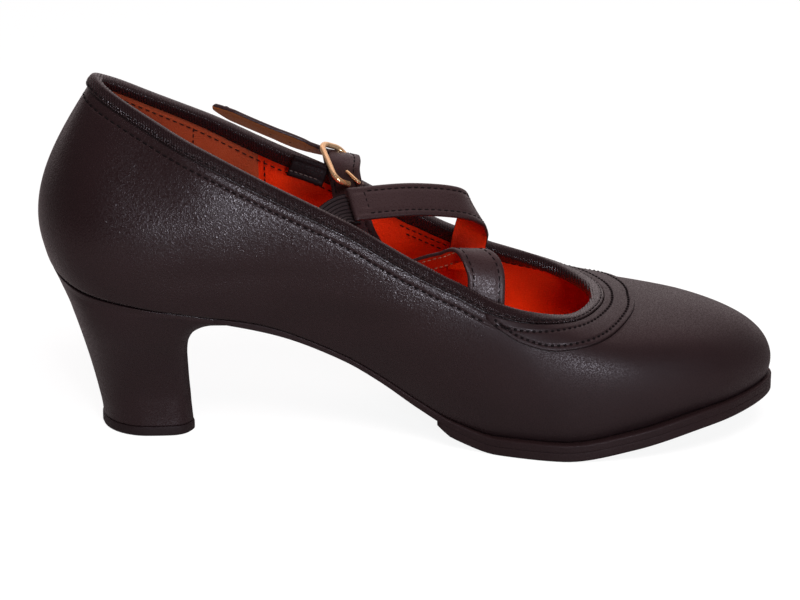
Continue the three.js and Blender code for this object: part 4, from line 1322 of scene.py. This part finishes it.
# The prong is hooked round a side bar and lies on the strap
clear = (BUCKLE_WIRE + PRONG_WIRE) / 2 + 0.1
bar_at = (BUCKLE_BREADTH - BUCKLE_WIRE) / 2
hook = seat + bars * (PRONG_SHARE * BUCKLE_LENGTH + 0.8)


def on_strap(t, off, lift):
    """A point over the buckle strap's good side."""
    here, _, face, across = buckled.at(t)
    return here + across * off + face * (STRAP / 2 + lift)


prong_points = []
for turn in (0.2, 0.8, 1.4, 2.0):
    beyond = width * ((1 + 0.3 * math.sin(turn)) * bar_at)
    prong_points.append(hook + beyond + front * (-clear * math.cos(turn) * 0.6))
PRONG_LINE = [(0.576, 5.7, 0.2), (0.582, 5.3, 0.75), (0.595, 4.0, 0.8), (0.61, 2.5, 0.75), (0.615, 1.9, 0.6)]
prong_points += [on_strap(*place) for place in PRONG_LINE]
prong_up = Vector((0.2, 1, 0.3))
prong_place = wire_place(prong_points, lambda t: PRONG_WIRE / 2 * (0.84 - 0.16 * t), False, prong_up)
bm = close(sheet(14, 60, prong_place))
finish_mesh(bm, "buckle_prong_gold", [GOLD], ["buckle_prong"])


# The floor
bm = bmesh.new()
bmesh.ops.create_grid(bm, x_segments=2, y_segments=2, size=6)
floor_mesh = bpy.data.meshes.new("floor")
bm.to_mesh(floor_mesh)
bm.free()
floor = bpy.data.objects.new("floor", floor_mesh)
bpy.context.scene.collection.objects.link(floor)
floor_material = bpy.data.materials.new("white_floor")
floor_material.use_nodes = True
floor_nodes, floor_links = floor_material.node_tree.nodes, floor_material.node_tree.links
paper = floor_nodes["Principled BSDF"]
paper.inputs["Roughness"].default_value = 0.9
glow = floor_nodes.new("ShaderNodeEmission")
glow.inputs["Strength"].default_value = 1.07
seen = floor_nodes.new("ShaderNodeLightPath")
shade = floor_nodes.new("ShaderNodeMix")
shade.data_type = "RGBA"
shade.inputs[6].default_value = (0.3, 0.27, 0.27, 1)
shade.inputs[7].default_value = (0.95, 0.95, 0.95, 1)
floor_links.new(seen.outputs["Is Camera Ray"], shade.inputs[0])
floor_links.new(shade.outputs[2], paper.inputs["Base Color"])
soften = floor_nodes.new("ShaderNodeMath")
soften.operation = "MULTIPLY"
soften.inputs[1].default_value = 0.84
floor_links.new(seen.outputs["Is Camera Ray"], soften.inputs[0])
both = floor_nodes.new("ShaderNodeMixShader")
floor_links.new(soften.outputs[0], both.inputs[0])
floor_links.new(paper.outputs[0], both.inputs[1])
floor_links.new(glow.outputs[0], both.inputs[2])
floor_links.new(both.outputs[0], floor_nodes["Material Output"].inputs["Surface"])
floor_mesh.materials.append(floor_material)

# The world: pale all round, dimmer in front of the shoe than behind it
world = bpy.data.worlds.new("studio")
world.use_nodes = True
bpy.context.scene.world = world
sky_nodes, sky_links = world.node_tree.nodes, world.node_tree.links
dim = sky_nodes["Background"]
direction = sky_nodes.new("ShaderNodeTexCoord")
parts = sky_nodes.new("ShaderNodeSeparateXYZ")
sky_links.new(direction.outputs["Generated"], parts.inputs[0])
behind = sky_nodes.new("ShaderNodeMapRange")
behind.interpolation_type = "SMOOTHSTEP"
behind.inputs["From Min"].default_value = 0.25
behind.inputs["From Max"].default_value = 0.95
behind.inputs["To Min"].default_value = 0.12
behind.inputs["To Max"].default_value = 0.9
sky_links.new(parts.outputs["Y"], behind.inputs["Value"])
sky_links.new(behind.outputs[0], dim.inputs["Strength"])
dim.inputs["Color"].default_value = (1, 0.87, 0.88, 1)
white = sky_nodes.new("ShaderNodeBackground")
white.inputs["Strength"].default_value = 1.05
sky_seen = sky_nodes.new("ShaderNodeLightPath")
sky_mix = sky_nodes.new("ShaderNodeMixShader")
sky_links.new(sky_seen.outputs["Is Camera Ray"], sky_mix.inputs[0])
sky_links.new(dim.outputs[0], sky_mix.inputs[1])
sky_links.new(white.outputs[0], sky_mix.inputs[2])
sky_links.new(sky_mix.outputs[0], sky_nodes["World Output"].inputs["Surface"])

bpy.context.scene.view_settings.view_transform = "Standard"


# Soft studio lights
def soft_light(name, place, target, size, power, colour=(1, 1, 1), gloss=True):
    data = bpy.data.lights.new(name, "AREA")
    data.shape = "RECTANGLE"
    data.size, data.size_y = size
    data.energy = power
    data.color = colour
    light = bpy.data.objects.new(name, data)
    light.location = place
    light.rotation_euler = (Vector(target) - Vector(place)).to_track_quat("-Z", "Y").to_euler()
    light.visible_glossy = gloss
    bpy.context.scene.collection.objects.link(light)


soft_light("front_low", (0.33, -1.0, 0.3), (0.07, 0, 0.07), (0.12, 0.26), 4.5, (0.78, 0.9, 1.0))
soft_light("front_high", (0.2, -0.7, 1.0), (0.09, 0, 0.05), (0.7, 0.5), 15, (1, 0.94, 0.94), gloss=False)
soft_light("overhead", (0.1, 0.4, 1.2), (0.09, 0, 0.03), (1.5, 0.9), 3.2, (1, 0.8, 0.82))
